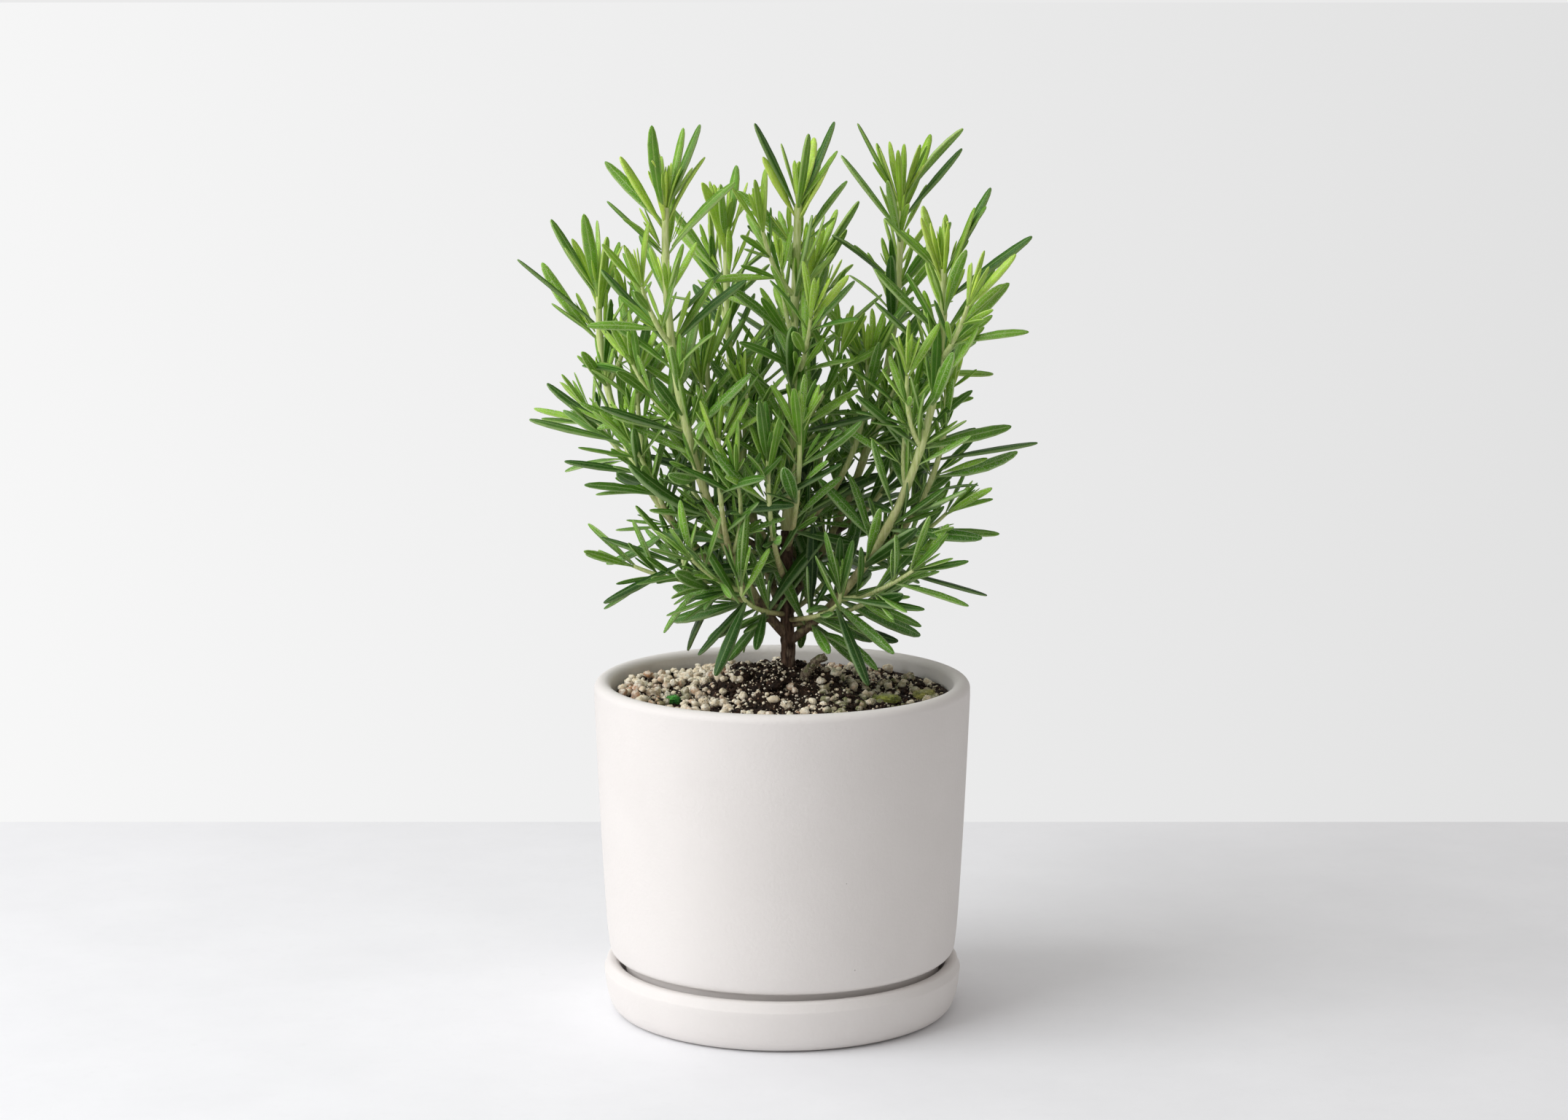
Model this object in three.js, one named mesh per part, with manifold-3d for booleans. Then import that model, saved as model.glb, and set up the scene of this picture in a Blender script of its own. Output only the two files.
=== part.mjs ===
// A potted rosemary: a white ceramic pot on its saucer, potting mix dressed with pumice, and one branched plant.
// Units are millimetres and +Z is up. The origin is the centre of the saucer's flat underside.
import * as THREE from "three";
import { mergeVertices } from "three/addons/utils/BufferGeometryUtils.js";
import Module from "manifold-3d";

const wasm = await Module();
wasm.setup();

// ---- Driving dimensions ----
const GAP = 0.3; // left between pieces that touch
const ROUND_SEGMENTS = 40;

const SAUCER_HEIGHT = 18.2;
const SAUCER_RADIUS = 62.3;
const SAUCER_BASE_RADIUS = 56;
const SAUCER_FLOOR = 4;
const SAUCER_LIP = 2.3; // radius of the round lip

const POT_TOP = 116.5;
const POT_RADIUS = 65; // outside, at the rim
const POT_SHOULDER_Z = 20; // underside of the body, where the foot steps in
const POT_SHOULDER_RADIUS = 60.2;
const POT_LIP = 2.9;
const POT_WALL = 5.8;
const POT_FLOOR = 7;
const FOOT_RADIUS = 53;
const FOOT_RECESS_RADIUS = 44;
const FOOT_RECESS = 1.6; // the hollow under the foot lets water out of the drain hole
const DRAIN_RADIUS = 7;

const SOIL_EDGE_Z = 110.5;
const MOUND_HEIGHT = 10.5;
const MOUND_SPREAD = 24;

const STEM_SIDES = 5;
const CURVE_STEPS = 8;
const TRUNK_RADII = [2.6, 2];
const LEADER_RADII = [1.9, 1.2];
const ROOTS = 5;
const ROOT_REACH = 38;
const ROOT_DEPTH = 62;

const NODE_SPACING = 15.5; // between leaf pairs along a shoot
const PAIR_TURN = 90; // each leaf pair is turned this far from the pair below it
const LEAF_WIDTH_SHARE = 0.14; // of a leaf's length
const LEAF_THICKNESS_SHARE = 0.28; // of a leaf's width
const MOST_TRIES = 6; // ways to turn a leaf before it is left out for want of room

const PUMICE_GRAINS = 16;
const WATERING_SPACE = { from: 65, to: 115 }; // bearings at the back that the large grains leave free

// ---- The plant's habit ----
// The trunk passes these places from the root crown up, and the leader carries on from it.
const TRUNK = [
  [2, 0, 104],
  [2, 0, 124],
  [1.6, 0.4, 146],
  [1.6, 0.5, 168],
];
const LEADER = [
  [1.6, 0.5, 168.3],
  [3.3, 0, 200],
  [4.2, -0.5, 240],
  [5.4, 0, 280],
];

// Every other shoot leaves its parent at a height, heads out at a bearing (degrees anticlockwise
// from +X, seen from above), and curves up until it is "reach" further out and as high as "top".
// "bare" is its leafless length, and "leaf" the length of its larger leaves.
const SHOOTS = [
  // name, parent, height, bearing, reach, top, radius, bare, leaf
  ["left_front_branch", "trunk", 131, 208, 46, 280, 1.75, 22, 31],
  ["right_front_branch", "trunk", 129, 345, 54, 259, 1.7, 24, 31],
  ["far_left_branch", "trunk", 138, 178, 64, 250, 1.6, 24, 30],
  ["back_right_branch", "trunk", 143, 38, 50, 281, 1.6, 26, 30],
  ["back_left_branch", "trunk", 136, 122, 40, 268, 1.6, 26, 29],
  ["back_branch", "trunk", 148, 80, 47, 254, 1.5, 28, 29],
  ["right_outer_shoot", "right_front_branch", 158, 12, 28, 217, 1.2, 8, 26],
  ["left_outer_shoot", "far_left_branch", 164, 196, 18, 221, 1.1, 8, 25],
  ["front_left_shoot", "left_front_branch", 160, 250, 13, 203, 1.1, 8, 24],
  ["back_left_low_shoot", "back_left_branch", 160, 165, 30, 200, 1.1, 8, 26],
  ["back_right_low_shoot", "back_right_branch", 165, 15, 26, 206, 1.1, 8, 26],
  ["front_right_shoot", "trunk", 161, 282, 21, 207, 1.1, 12, 24],
  ["inner_right_shoot", "trunk", 165, 22, 30, 226, 1.2, 10, 26],
  ["inner_left_shoot", "trunk", 158, 160, 29, 230, 1.2, 10, 26],
  ["front_shoot", "trunk", 150, 255, 24, 196, 1.1, 10, 26],
  ["back_low_shoot", "trunk", 145, 100, 40, 186, 1.1, 12, 26],
  ["low_left_shoot", "trunk", 141, 190, 36, 160, 1.1, 14, 27],
  ["low_right_shoot", "trunk", 135, 352, 38, 158, 1.1, 16, 27],
  ["low_front_left_shoot", "trunk", 139, 236, 28, 153, 1, 12, 25],
  ["low_front_right_shoot", "trunk", 137, 312, 27, 150, 1, 12, 25],
  ["low_back_shoot", "trunk", 139, 60, 34, 156, 1, 14, 25],
];

// Long leaves that stand out from the rest, or hang. The rise is degrees above level.
const LONG_LEAVES = [
  // shoot, height, bearing, rise, length
  ["far_left_branch", 238, 184, 36, 36],
  ["far_left_branch", 198, 180, 10, 34],
  ["left_outer_shoot", 188, 192, 6, 30],
  ["low_left_shoot", 158, 198, -28, 31],
  ["low_left_shoot", 157, 176, 14, 30],
  ["left_front_branch", 147, 218, -42, 30],
  ["low_front_left_shoot", 147, 246, -50, 26],
  ["right_front_branch", 248, 350, 33, 37],
  ["right_outer_shoot", 193, 356, 6, 37],
  ["low_right_shoot", 155, 350, -18, 32],
  ["right_front_branch", 144, 320, -34, 30],
  ["low_front_right_shoot", 144, 296, -52, 26],
  ["low_front_right_shoot", 148, 340, -8, 30],
  ["left_front_branch", 278, 12, 64, 34],
  ["left_front_branch", 274, 160, 40, 30],
  ["far_left_branch", 247, 172, 55, 32],
  ["right_front_branch", 256, 10, 58, 34],
  ["right_front_branch", 236, 200, 40, 34],
  ["leader", 277, 0, 64, 33],
  ["leader", 277, 186, 60, 36],
  ["back_right_branch", 272, 0, 46, 33],
  ["back_right_branch", 268, 172, 48, 34],
  ["back_branch", 214, 88, 20, 32],
  ["back_left_branch", 232, 118, 26, 32],
  ["back_low_shoot", 180, 96, -4, 30],
  ["low_back_shoot", 154, 62, -24, 28],
];

// ---- Materials ----
const material = (color, roughness) => new THREE.MeshStandardMaterial({ color, roughness, metalness: 0 });
const CERAMIC = material(0xe6e2dd, 0.55);
const SOIL = material(0x2e211a, 1);
const BARK = material(0x6b5444, 0.9);
const FOLIAGE = material(0x4f7d35, 0.55);
const PUMICE = material(0xd8cdb4, 0.95);
const MOSS = material(0x6c7a34, 1);

// ---- What lies on the potting mix ----
const ON_THE_SOIL = [
  // name, bearing, distance from the middle, half sizes, material
  ["peat_lump_left", 205, 15, [4.2, 3.6, 3], SOIL],
  ["peat_lump_right", 338, 17, [4.6, 4, 3.4], SOIL],
  ["peat_lump_front", 262, 17, [3.8, 4.2, 2.8], SOIL],
  ["peat_lump_back", 140, 19, [4.4, 4, 3], SOIL],
  ["moss_right", 338, 38, [6.5, 5, 2.4], MOSS],
  ["moss_far_right", 358, 49, [5.5, 6, 2], MOSS],
  ["moss_left", 202, 40, [3.4, 3, 2], MOSS],
];
const STUB = [
  [6.4, -8, 113],
  [8.2, -8.5, 119.5],
  [11.5, -9, 124],
  [15, -9.3, 126],
];
const STUB_RADIUS = 1.4;

// ---- Repeatable variation ----
// The minimal standard generator: the same seed always gives the same plant.
function randomFrom(seed) {
  let state = seed;
  return () => {
    state = (state * 16807) % 2147483647;
    return state / 2147483647;
  };
}

const mix = THREE.MathUtils.lerp;
const radians = THREE.MathUtils.degToRad;
const between = (low, high, random) => mix(low, high, random());
const vector = ([x, y, z]) => new THREE.Vector3(x, y, z);

// The direction of a bearing, raised by some degrees above level.
function heading(bearing, rise = 0) {
  const [b, r] = [radians(bearing), radians(rise)];
  return new THREE.Vector3(Math.cos(b) * Math.cos(r), Math.sin(b) * Math.cos(r), Math.sin(r));
}

// ---- Solids ----
function closedGeometry(points, index) {
  return new THREE.BufferGeometry()
    .setAttribute("position", new THREE.Float32BufferAttribute(points.flatMap((p) => p.toArray()), 3))
    .setIndex(index);
}

// A closed geometry as a manifold-3d solid.
function solidOf(geometry) {
  const bare = geometry.clone();
  bare.deleteAttribute("normal");
  bare.deleteAttribute("uv");
  const merged = mergeVertices(bare, 1e-4);
  return new wasm.Manifold(
    new wasm.Mesh({
      numProp: 3,
      vertProperties: merged.attributes.position.array,
      triVerts: new Uint32Array(merged.index.array),
    }),
  );
}

function geometryOf(solid) {
  const mesh = solid.getMesh();
  return new THREE.BufferGeometry()
    .setAttribute("position", new THREE.BufferAttribute(mesh.vertProperties, 3))
    .setIndex(new THREE.BufferAttribute(mesh.triVerts, 1));
}

const part = new THREE.Group();

function addMesh(name, solid, look) {
  const mesh = new THREE.Mesh(geometryOf(solid), look);
  mesh.name = name;
  part.add(mesh);
}

// A turned solid. The profile is a list of [radius, height] that runs anticlockwise.
function turned(profile) {
  const points = [...profile, profile[0]].map(([r, z]) => new THREE.Vector2(r, z));
  return solidOf(new THREE.LatheGeometry(points, ROUND_SEGMENTS).rotateX(Math.PI / 2));
}

// Points on an arc, from one angle to another, in degrees from the outward direction.
function arc(radius, z, size, from, to, steps) {
  return Array.from({ length: steps + 1 }, (_, i) => {
    const angle = radians(mix(from, to, i / steps));
    return [radius + size * Math.cos(angle), z + size * Math.sin(angle)];
  });
}

// A tapered tube through points; radiusAt(share) gives its radius along the way.
function taperedTube(centres, radiusAt) {
  const points = [];
  const index = [];
  const last = centres.length - 1;
  let side = new THREE.Vector3(1, 0, 0);
  centres.forEach((centre, i) => {
    const along = centres[Math.min(i + 1, last)].clone().sub(centres[Math.max(i - 1, 0)]).normalize();
    side = side.clone().addScaledVector(along, -side.dot(along)).normalize();
    const across = along.clone().cross(side);
    for (let k = 0; k < STEM_SIDES; k++) {
      const angle = (2 * Math.PI * k) / STEM_SIDES;
      const corner = side.clone().multiplyScalar(Math.cos(angle)).addScaledVector(across, Math.sin(angle));
      points.push(centre.clone().addScaledVector(corner, radiusAt(i / last)));
    }
  });
  for (let i = 0; i < last; i++)
    for (let k = 0; k < STEM_SIDES; k++) {
      const [a, b] = [i * STEM_SIDES + k, i * STEM_SIDES + ((k + 1) % STEM_SIDES)];
      index.push(a, b, a + STEM_SIDES, b, b + STEM_SIDES, a + STEM_SIDES);
    }
  for (let k = 1; k < STEM_SIDES - 1; k++) {
    index.push(0, k + 1, k);
    index.push(last * STEM_SIDES, last * STEM_SIDES + k, last * STEM_SIDES + k + 1);
  }
  return solidOf(closedGeometry(points, index));
}

// An uneven lump: lumpOf(...)(extra) is the same lump grown by "extra" all round.
function lumpOf(centre, size, roughness, seed) {
  const random = randomFrom(seed);
  const bare = new THREE.IcosahedronGeometry(1, 1);
  bare.deleteAttribute("normal");
  bare.deleteAttribute("uv");
  const ball = mergeVertices(bare, 1e-4);
  const place = ball.attributes.position;
  const directions = Array.from({ length: place.count }, (_, i) => new THREE.Vector3().fromBufferAttribute(place, i));
  const radii = directions.map(() => between(1 - roughness, 1 + roughness, random));
  return (extra) => {
    const points = directions.map((d, i) =>
      vector(centre).add(d.clone().multiply(vector(size)).multiplyScalar(radii[i])).addScaledVector(d, extra),
    );
    return solidOf(closedGeometry(points, Array.from(ball.index.array)));
  };
}

// ---- Saucer ----
function saucer() {
  const lipRadius = SAUCER_RADIUS - SAUCER_LIP;
  const lipZ = SAUCER_HEIGHT - SAUCER_LIP;
  return turned([
    [0, 0],
    [SAUCER_BASE_RADIUS, 0],
    [SAUCER_BASE_RADIUS + 2.6, 1.2],
    [SAUCER_BASE_RADIUS + 4.3, 4],
    [SAUCER_BASE_RADIUS + 5.5, 8],
    ...arc(lipRadius, lipZ, SAUCER_LIP, -8, 188, 7),
    [lipRadius - 2.8, 9],
    [lipRadius - 5.4, SAUCER_FLOOR],
    [0, SAUCER_FLOOR],
  ]);
}

// ---- Pot ----
// The side bows out slightly between the shoulder and the rim.
function potSide(steps) {
  const from = POT_SHOULDER_Z + 2;
  return Array.from({ length: steps + 1 }, (_, i) => {
    const rise = i / steps;
    return [mix(POT_SHOULDER_RADIUS, POT_RADIUS, Math.pow(rise, 0.72)), mix(from, POT_TOP - POT_LIP, rise)];
  });
}

function pot() {
  const base = SAUCER_FLOOR + GAP;
  const inside = POT_RADIUS - POT_WALL;
  return turned([
    [DRAIN_RADIUS, base + FOOT_RECESS],
    [FOOT_RECESS_RADIUS, base + FOOT_RECESS],
    [FOOT_RECESS_RADIUS + 1.5, base],
    [FOOT_RADIUS - 1.5, base],
    [FOOT_RADIUS, base + 1.5],
    [FOOT_RADIUS + 3, POT_SHOULDER_Z],
    [POT_SHOULDER_RADIUS - 1.5, POT_SHOULDER_Z],
    [POT_SHOULDER_RADIUS - 0.4, POT_SHOULDER_Z + 0.6],
    ...potSide(5),
    ...arc(POT_RADIUS - POT_LIP, POT_TOP - POT_LIP, POT_LIP, 30, 150, 4),
    [inside, POT_TOP - POT_LIP - 1],
    [inside - 3, 70],
    [inside - 8, base + POT_FLOOR + 4],
    [inside - 12, base + POT_FLOOR],
    [DRAIN_RADIUS, base + POT_FLOOR],
  ]);
}

// ---- Potting mix ----
const soilHeight = (radius) => SOIL_EDGE_Z + MOUND_HEIGHT * Math.exp(-Math.pow(radius / MOUND_SPREAD, 2));

// It fills the pot and rises in a low mound round the trunk.
function pottingMix() {
  const base = SAUCER_FLOOR + GAP + POT_FLOOR + GAP;
  const inside = POT_RADIUS - POT_WALL - GAP;
  const surface = Array.from({ length: 7 }, (_, i) => {
    const radius = (inside - 0.4) * (1 - i / 7);
    return [radius, soilHeight(radius)];
  });
  return turned([
    [0, base],
    [inside - 12.3, base],
    [inside - 8.3, base + 4],
    [inside - 3.2, 70],
    ...surface,
    [0, soilHeight(0)],
  ]);
}

// ---- Room between pieces ----
const taken = []; // what is in place already: its owner, its solid and its box

function take(owner, solid) {
  taken.push({ owner, solid, box: solid.boundingBox() });
}

const apart = (a, b) => [0, 1, 2].some((i) => a.max[i] < b.min[i] || b.max[i] < a.min[i]);

function isFree(owner, solid) {
  const box = solid.boundingBox();
  const clear = (other) => other.owner === owner || apart(box, other.box) || other.solid.intersect(solid).isEmpty();
  return taken.every(clear);
}

// ---- Stems ----
const stems = new Map();

function addStem(name, curve, [baseRadius, tipRadius]) {
  const centres = curve.getSpacedPoints(CURVE_STEPS);
  const radiusAt = (share) => mix(baseRadius, tipRadius, Math.pow(share, 0.8));
  const stem = {
    curve,
    solid: taperedTube(centres, radiusAt),
    clearance: taperedTube(centres, (share) => radiusAt(share) + GAP),
  };
  stems.set(name, stem);
  take(name, stem.clearance);
}

// How far along a curve a height is reached, as a share of its length.
function shareAtHeight(curve, z) {
  let [low, high] = [0, 1];
  while (high - low > 0.001) {
    const middle = (low + high) / 2;
    if (curve.getPointAt(middle).z < z) low = middle;
    else high = middle;
  }
  return low;
}

// A shoot's centreline: out from its parent, then up.
function shootCurve(start, bearing, reach, top) {
  const place = (outShare, riseShare) =>
    start
      .clone()
      .addScaledVector(heading(bearing), reach * outShare)
      .setZ(mix(start.z, top, riseShare));
  return new THREE.CubicBezierCurve3(start, place(0.6, 0.18), place(1.05, 0.55), place(1, 1));
}

// The roots spread out and down from the foot of the trunk.
function rootSystem(extra) {
  const crown = vector(TRUNK[0]);
  const roots = Array.from({ length: ROOTS }, (_, i) => {
    const centres = Array.from({ length: 6 }, (_, k) =>
      crown
        .clone()
        .addScaledVector(heading(20 + (360 / ROOTS) * i), ROOT_REACH * Math.pow(k / 5, 1.3))
        .setZ(crown.z + 3 - (ROOT_DEPTH * k) / 5),
    );
    return taperedTube(centres, (share) => mix(1.7, 0.5, share) + extra);
  });
  return roots.reduce((all, root) => all.add(root));
}

// ---- Leaves ----
// A blade with one bend and a keel: its root in the stem's middle, a three-cornered waist, and a tip.
function blade(base, lower, upper, length) {
  const along = lower.clone().add(upper).normalize();
  const width = along.clone().cross(Math.abs(along.z) > 0.98 ? vector([1, 0, 0]) : vector([0, 0, 1])).normalize();
  const thick = width.clone().cross(along);
  const half = (length * LEAF_WIDTH_SHARE) / 2;
  const waist = base.clone().addScaledVector(lower, length * 0.48);
  const points = [
    base,
    waist.clone().addScaledVector(width, half),
    waist.clone().addScaledVector(width, -half),
    waist.clone().addScaledVector(thick, -2 * half * LEAF_THICKNESS_SHARE),
    waist.clone().addScaledVector(upper, length * 0.52),
  ];
  const index = [0, 1, 2, 0, 2, 3, 0, 3, 1, 4, 2, 1, 4, 3, 2, 4, 1, 3];
  return solidOf(closedGeometry(points, index));
}

// A leaf that grows from a stem: it is turned round the stem, tilted off it, and bent along its length.
function stemLeaf(curve, { share, turn, tilt, bend, length }) {
  const along = curve.getTangentAt(share);
  const side = along.clone().cross(vector([0, 1, 0.2])).normalize();
  const out = side.applyAxisAngle(along, radians(turn));
  const lean = (angle) =>
    along.clone().multiplyScalar(Math.cos(radians(angle))).addScaledVector(out, Math.sin(radians(angle)));
  return blade(curve.getPointAt(share), lean(tilt - bend), lean(tilt + bend), length);
}

// A shorter, steeper leaf in the corner between a leaf and its stem.
const cornerLeaf = (leaf, random) => ({
  share: leaf.share,
  turn: leaf.turn + between(-30, 30, random),
  tilt: leaf.tilt * between(0.4, 0.6, random),
  bend: 3,
  length: leaf.length * between(0.45, 0.7, random),
});

// The leaves of a shoot, pair by pair from the lowest to the tip. They stand closer to the stem
// towards the tip.
function shootLeaves(curve, bare, leafLength, seed) {
  const random = randomFrom(seed);
  const length = curve.getLength();
  const pairs = Math.max(2, Math.round((length - bare) / NODE_SPACING) + 1);
  const leaves = [];
  for (let pair = 0; pair < pairs; pair++) {
    const height = pair / (pairs - 1);
    const share = Math.min(mix(bare / length, 1, height), 0.99);
    for (const half of [0, 180]) {
      const leaf = {
        share,
        turn: pair * PAIR_TURN + half + between(-22, 22, random),
        tilt: mix(80, 34, Math.pow(height, 0.8)) + between(-12, 12, random),
        bend: between(-9, 12, random),
        length: leafLength * between(0.8, 1.12, random) * mix(1, 0.9, height),
      };
      leaves.push(leaf);
      if (half) leaves.push(cornerLeaf(leaf, random));
    }
  }
  return leaves;
}

// ---- Build: pot, saucer and potting mix ----
const potSolid = pot();
addMesh("saucer", saucer(), CERAMIC);
addMesh("pot", potSolid, CERAMIC);
take("pot", potSolid);
let soil = pottingMix();
take("potting_mix", soil);

// ---- Build: stems, parents before children ----
addStem("trunk", new THREE.CatmullRomCurve3(TRUNK.map(vector)), TRUNK_RADII);
addStem("leader", new THREE.CatmullRomCurve3(LEADER.map(vector)), LEADER_RADII);
for (const [name, parent, height, bearing, reach, top, radius] of SHOOTS) {
  const { curve } = stems.get(parent);
  const start = curve.getPointAt(shareAtHeight(curve, height));
  addStem(name, shootCurve(start, bearing, reach, top), [radius, radius * 0.68]);
  const stem = stems.get(name);
  for (const [other, { clearance }] of stems) if (other !== name) stem.solid = stem.solid.subtract(clearance);
  // Where a neighbour cuts it right through, the stem is the largest piece.
  stem.solid = stem.solid.decompose().sort((a, b) => b.volume() - a.volume())[0];
}

// ---- Build: leaves ----
function addLeaf(name, solidAt) {
  for (let attempt = 0; attempt < MOST_TRIES; attempt++) {
    const swing = (attempt % 2 ? 9 : -9) * Math.ceil(attempt / 2);
    const solid = solidAt(swing);
    const stem = stems.get(name);
    const joined = stem.solid.add(solid);
    if (joined.decompose().length > 1 || !isFree(name, solid)) continue;
    stem.solid = joined;
    take(name, solid);
    return;
  }
}

for (const [name, height, bearing, rise, length] of LONG_LEAVES) {
  const { curve } = stems.get(name);
  const base = curve.getPointAt(shareAtHeight(curve, height));
  addLeaf(name, (swing) => blade(base, heading(bearing + swing, rise + 4), heading(bearing + swing, rise - 4), length));
}
const leafy = [["leader", 2, 31], ...SHOOTS.map((row) => [row[0], row[7], row[8]])];
leafy.forEach(([name, bare, leafLength], order) => {
  const { curve } = stems.get(name);
  for (const leaf of shootLeaves(curve, bare, leafLength, 101 + 17 * order))
    addLeaf(name, (swing) => stemLeaf(curve, { ...leaf, turn: leaf.turn + swing }));
});

// ---- Build: what lies in the potting mix ----
// Each piece sits in a pocket of its own shape.
function bed(name, lump, look) {
  soil = soil.subtract(lump(GAP));
  addMesh(name, lump(0), look);
  take(name, lump(GAP));
}

for (const [name, bearing, radius, size, look] of ON_THE_SOIL) {
  const centre = heading(bearing).multiplyScalar(radius).setZ(soilHeight(radius) + size[2] * 0.25);
  bed(name, lumpOf(centre.toArray(), size, 0.1, 7 + Math.round(bearing)), look);
}

// The stub of a dead shoot leans out of the potting mix beside the trunk.
const stubAt = (extra) => taperedTube(STUB.map(vector), () => STUB_RADIUS + extra);
bed("dead_stub", stubAt, BARK);

// Pumice grains spread over the surface on a sunflower spiral, wherever there is room.
const random = randomFrom(4242);
let grains = 0;
for (let attempt = 0; attempt < 200 && grains < PUMICE_GRAINS; attempt++) {
  const bearing = (attempt * 137.5 + 200) % 360;
  const radius = between(20, 53, random);
  const size = between(2.4, 3.8, random);
  const centre = heading(bearing).multiplyScalar(radius).setZ(soilHeight(radius) + size * 0.2);
  const lump = lumpOf(centre.toArray(), [size, size * between(0.75, 1, random), size * 0.8], 0.1, 31 + attempt);
  const inWateringSpace = bearing > WATERING_SPACE.from && bearing < WATERING_SPACE.to;
  if (inWateringSpace || !isFree("potting_mix", lump(GAP))) continue;
  grains++;
  bed(`pumice_${grains}`, lump, PUMICE);
}

addMesh("potting_mix", soil.subtract(stems.get("trunk").clearance).subtract(rootSystem(GAP)), SOIL);

// ---- Build: the finished shoots ----
stems.get("trunk").solid = stems.get("trunk").solid.add(rootSystem(0));
for (const [name, { solid }] of stems) addMesh(name, solid, name === "trunk" ? BARK : FOLIAGE);

export default part;
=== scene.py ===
# A potted rosemary in a white ceramic pot on its saucer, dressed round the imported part.
# Blender's units are metres, +Z is up and -Y is the front; the sizes in the sections are in mm.
import math

import bmesh
import bpy
import numpy as np
from mathutils import Matrix, Vector
from mathutils.bvhtree import BVHTree


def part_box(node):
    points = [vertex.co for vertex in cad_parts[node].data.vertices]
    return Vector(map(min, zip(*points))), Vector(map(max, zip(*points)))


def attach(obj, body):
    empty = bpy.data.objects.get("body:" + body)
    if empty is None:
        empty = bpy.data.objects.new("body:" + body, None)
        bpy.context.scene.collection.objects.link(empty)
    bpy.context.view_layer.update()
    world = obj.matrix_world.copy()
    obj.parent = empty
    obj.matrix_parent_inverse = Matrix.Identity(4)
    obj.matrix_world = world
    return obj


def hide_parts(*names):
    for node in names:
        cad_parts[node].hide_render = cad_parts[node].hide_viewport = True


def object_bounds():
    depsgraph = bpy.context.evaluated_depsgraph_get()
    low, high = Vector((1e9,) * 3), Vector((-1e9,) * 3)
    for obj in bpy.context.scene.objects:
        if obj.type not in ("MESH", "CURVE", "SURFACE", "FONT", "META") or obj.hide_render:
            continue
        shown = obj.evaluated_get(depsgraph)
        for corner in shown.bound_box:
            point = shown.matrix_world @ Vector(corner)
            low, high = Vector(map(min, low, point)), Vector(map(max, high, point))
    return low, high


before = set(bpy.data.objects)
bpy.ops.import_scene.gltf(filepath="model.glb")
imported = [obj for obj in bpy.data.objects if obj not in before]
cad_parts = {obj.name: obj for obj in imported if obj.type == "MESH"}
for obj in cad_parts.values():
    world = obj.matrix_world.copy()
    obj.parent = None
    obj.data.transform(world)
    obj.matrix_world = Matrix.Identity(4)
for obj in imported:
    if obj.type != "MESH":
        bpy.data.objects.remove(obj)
cad_low, cad_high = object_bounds()
MM = 0.001


# ---- Saucer ----
# A shallow dish of white stoneware, thrown on the wheel and matt glazed all over. It has a thick soft
# lip, sides that flare from a rounded foot, and a flat floor that the pot stands on.
def deselect():
    """Starts a piece with nothing selected, because an operator acts on all that is."""
    bpy.ops.object.select_all(action="DESELECT")


def vertices_where(obj, test):
    """In edit mode, selects only the vertices whose place passes the test."""
    bpy.ops.mesh.select_all(action="DESELECT")
    mesh = bmesh.from_edit_mesh(obj.data)
    mesh.select_mode = {"VERT"}
    for vertex in mesh.verts:
        vertex.select = bool(test(vertex.co))
    mesh.select_flush_mode()
    bmesh.update_edit_mesh(obj.data)


def round_corner(radius, height, size, start, stop, steps):
    """Points on an arc of a section, its angles in degrees up from the outward direction."""
    angles = [math.radians(start + (stop - start) * i / steps) for i in range(steps + 1)]
    return [(radius + size * math.cos(a), height + size * math.sin(a)) for a in angles]


def throw_on_wheel(name, section, steps):
    """Draws half a section point by point, closed by the axis or by its own start, and spins it."""
    deselect()
    bpy.ops.mesh.primitive_plane_add(size=MM, location=(0, 0, 0))
    vessel = bpy.context.object
    vessel.name = name
    bpy.ops.object.mode_set(mode="EDIT")
    bpy.ops.mesh.merge(type="CENTER")
    here = Vector((0, 0, 0))
    for i, (radius, height) in enumerate(section):
        there = Vector((radius * MM, 0, height * MM))
        if i == 0:
            bpy.ops.transform.translate(value=there - here)
        else:
            bpy.ops.mesh.extrude_region_move(TRANSFORM_OT_translate={"value": there - here})
        here = there
    bpy.ops.mesh.select_all(action="SELECT")
    bpy.ops.mesh.spin(steps=steps, angle=2 * math.pi, center=(0, 0, 0), axis=(0, 0, 1))
    bpy.ops.mesh.select_all(action="SELECT")
    bpy.ops.mesh.remove_doubles(threshold=2e-6)
    bpy.ops.mesh.normals_make_consistent(inside=False)
    bpy.ops.object.mode_set(mode="OBJECT")
    bpy.ops.object.shade_smooth_by_angle(angle=math.radians(50))
    return vessel


def shader(tree, kind, inputs=None, **settings):
    """A shader node with its settings, and each input given a value or joined to another node's output."""
    made = tree.nodes.new("ShaderNode" + kind)
    for key, value in settings.items():
        setattr(made, key, value)
    for key, value in (inputs or {}).items():
        if isinstance(value, bpy.types.NodeSocket):
            tree.links.new(value, made.inputs[key])
        else:
            made.inputs[key].default_value = value
    return made


def cell_pattern(tree, place, size_mm):
    """A pattern of cells, each with a colour of its own and the distance to its middle."""
    return shader(tree, "TexVoronoi", {"Vector": place, "Scale": 1 / (size_mm * MM)})


def maths(tree, operation, *values):
    """The result of one sum on numbers and other nodes' outputs."""
    return shader(tree, "Math", dict(enumerate(values)), operation=operation).outputs[0]


def start_material(name, roughness, specular=0.5):
    """An empty material: its tree, its Principled shader and the piece's own coordinates."""
    material = bpy.data.materials.new(name)
    material.use_nodes = True
    tree = material.node_tree
    surface = tree.nodes["Principled BSDF"]
    surface.inputs["Roughness"].default_value = roughness
    surface.inputs["Specular IOR Level"].default_value = specular
    place = tree.nodes.new("ShaderNodeTexCoord").outputs["Object"]
    return material, tree, surface, place


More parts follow.
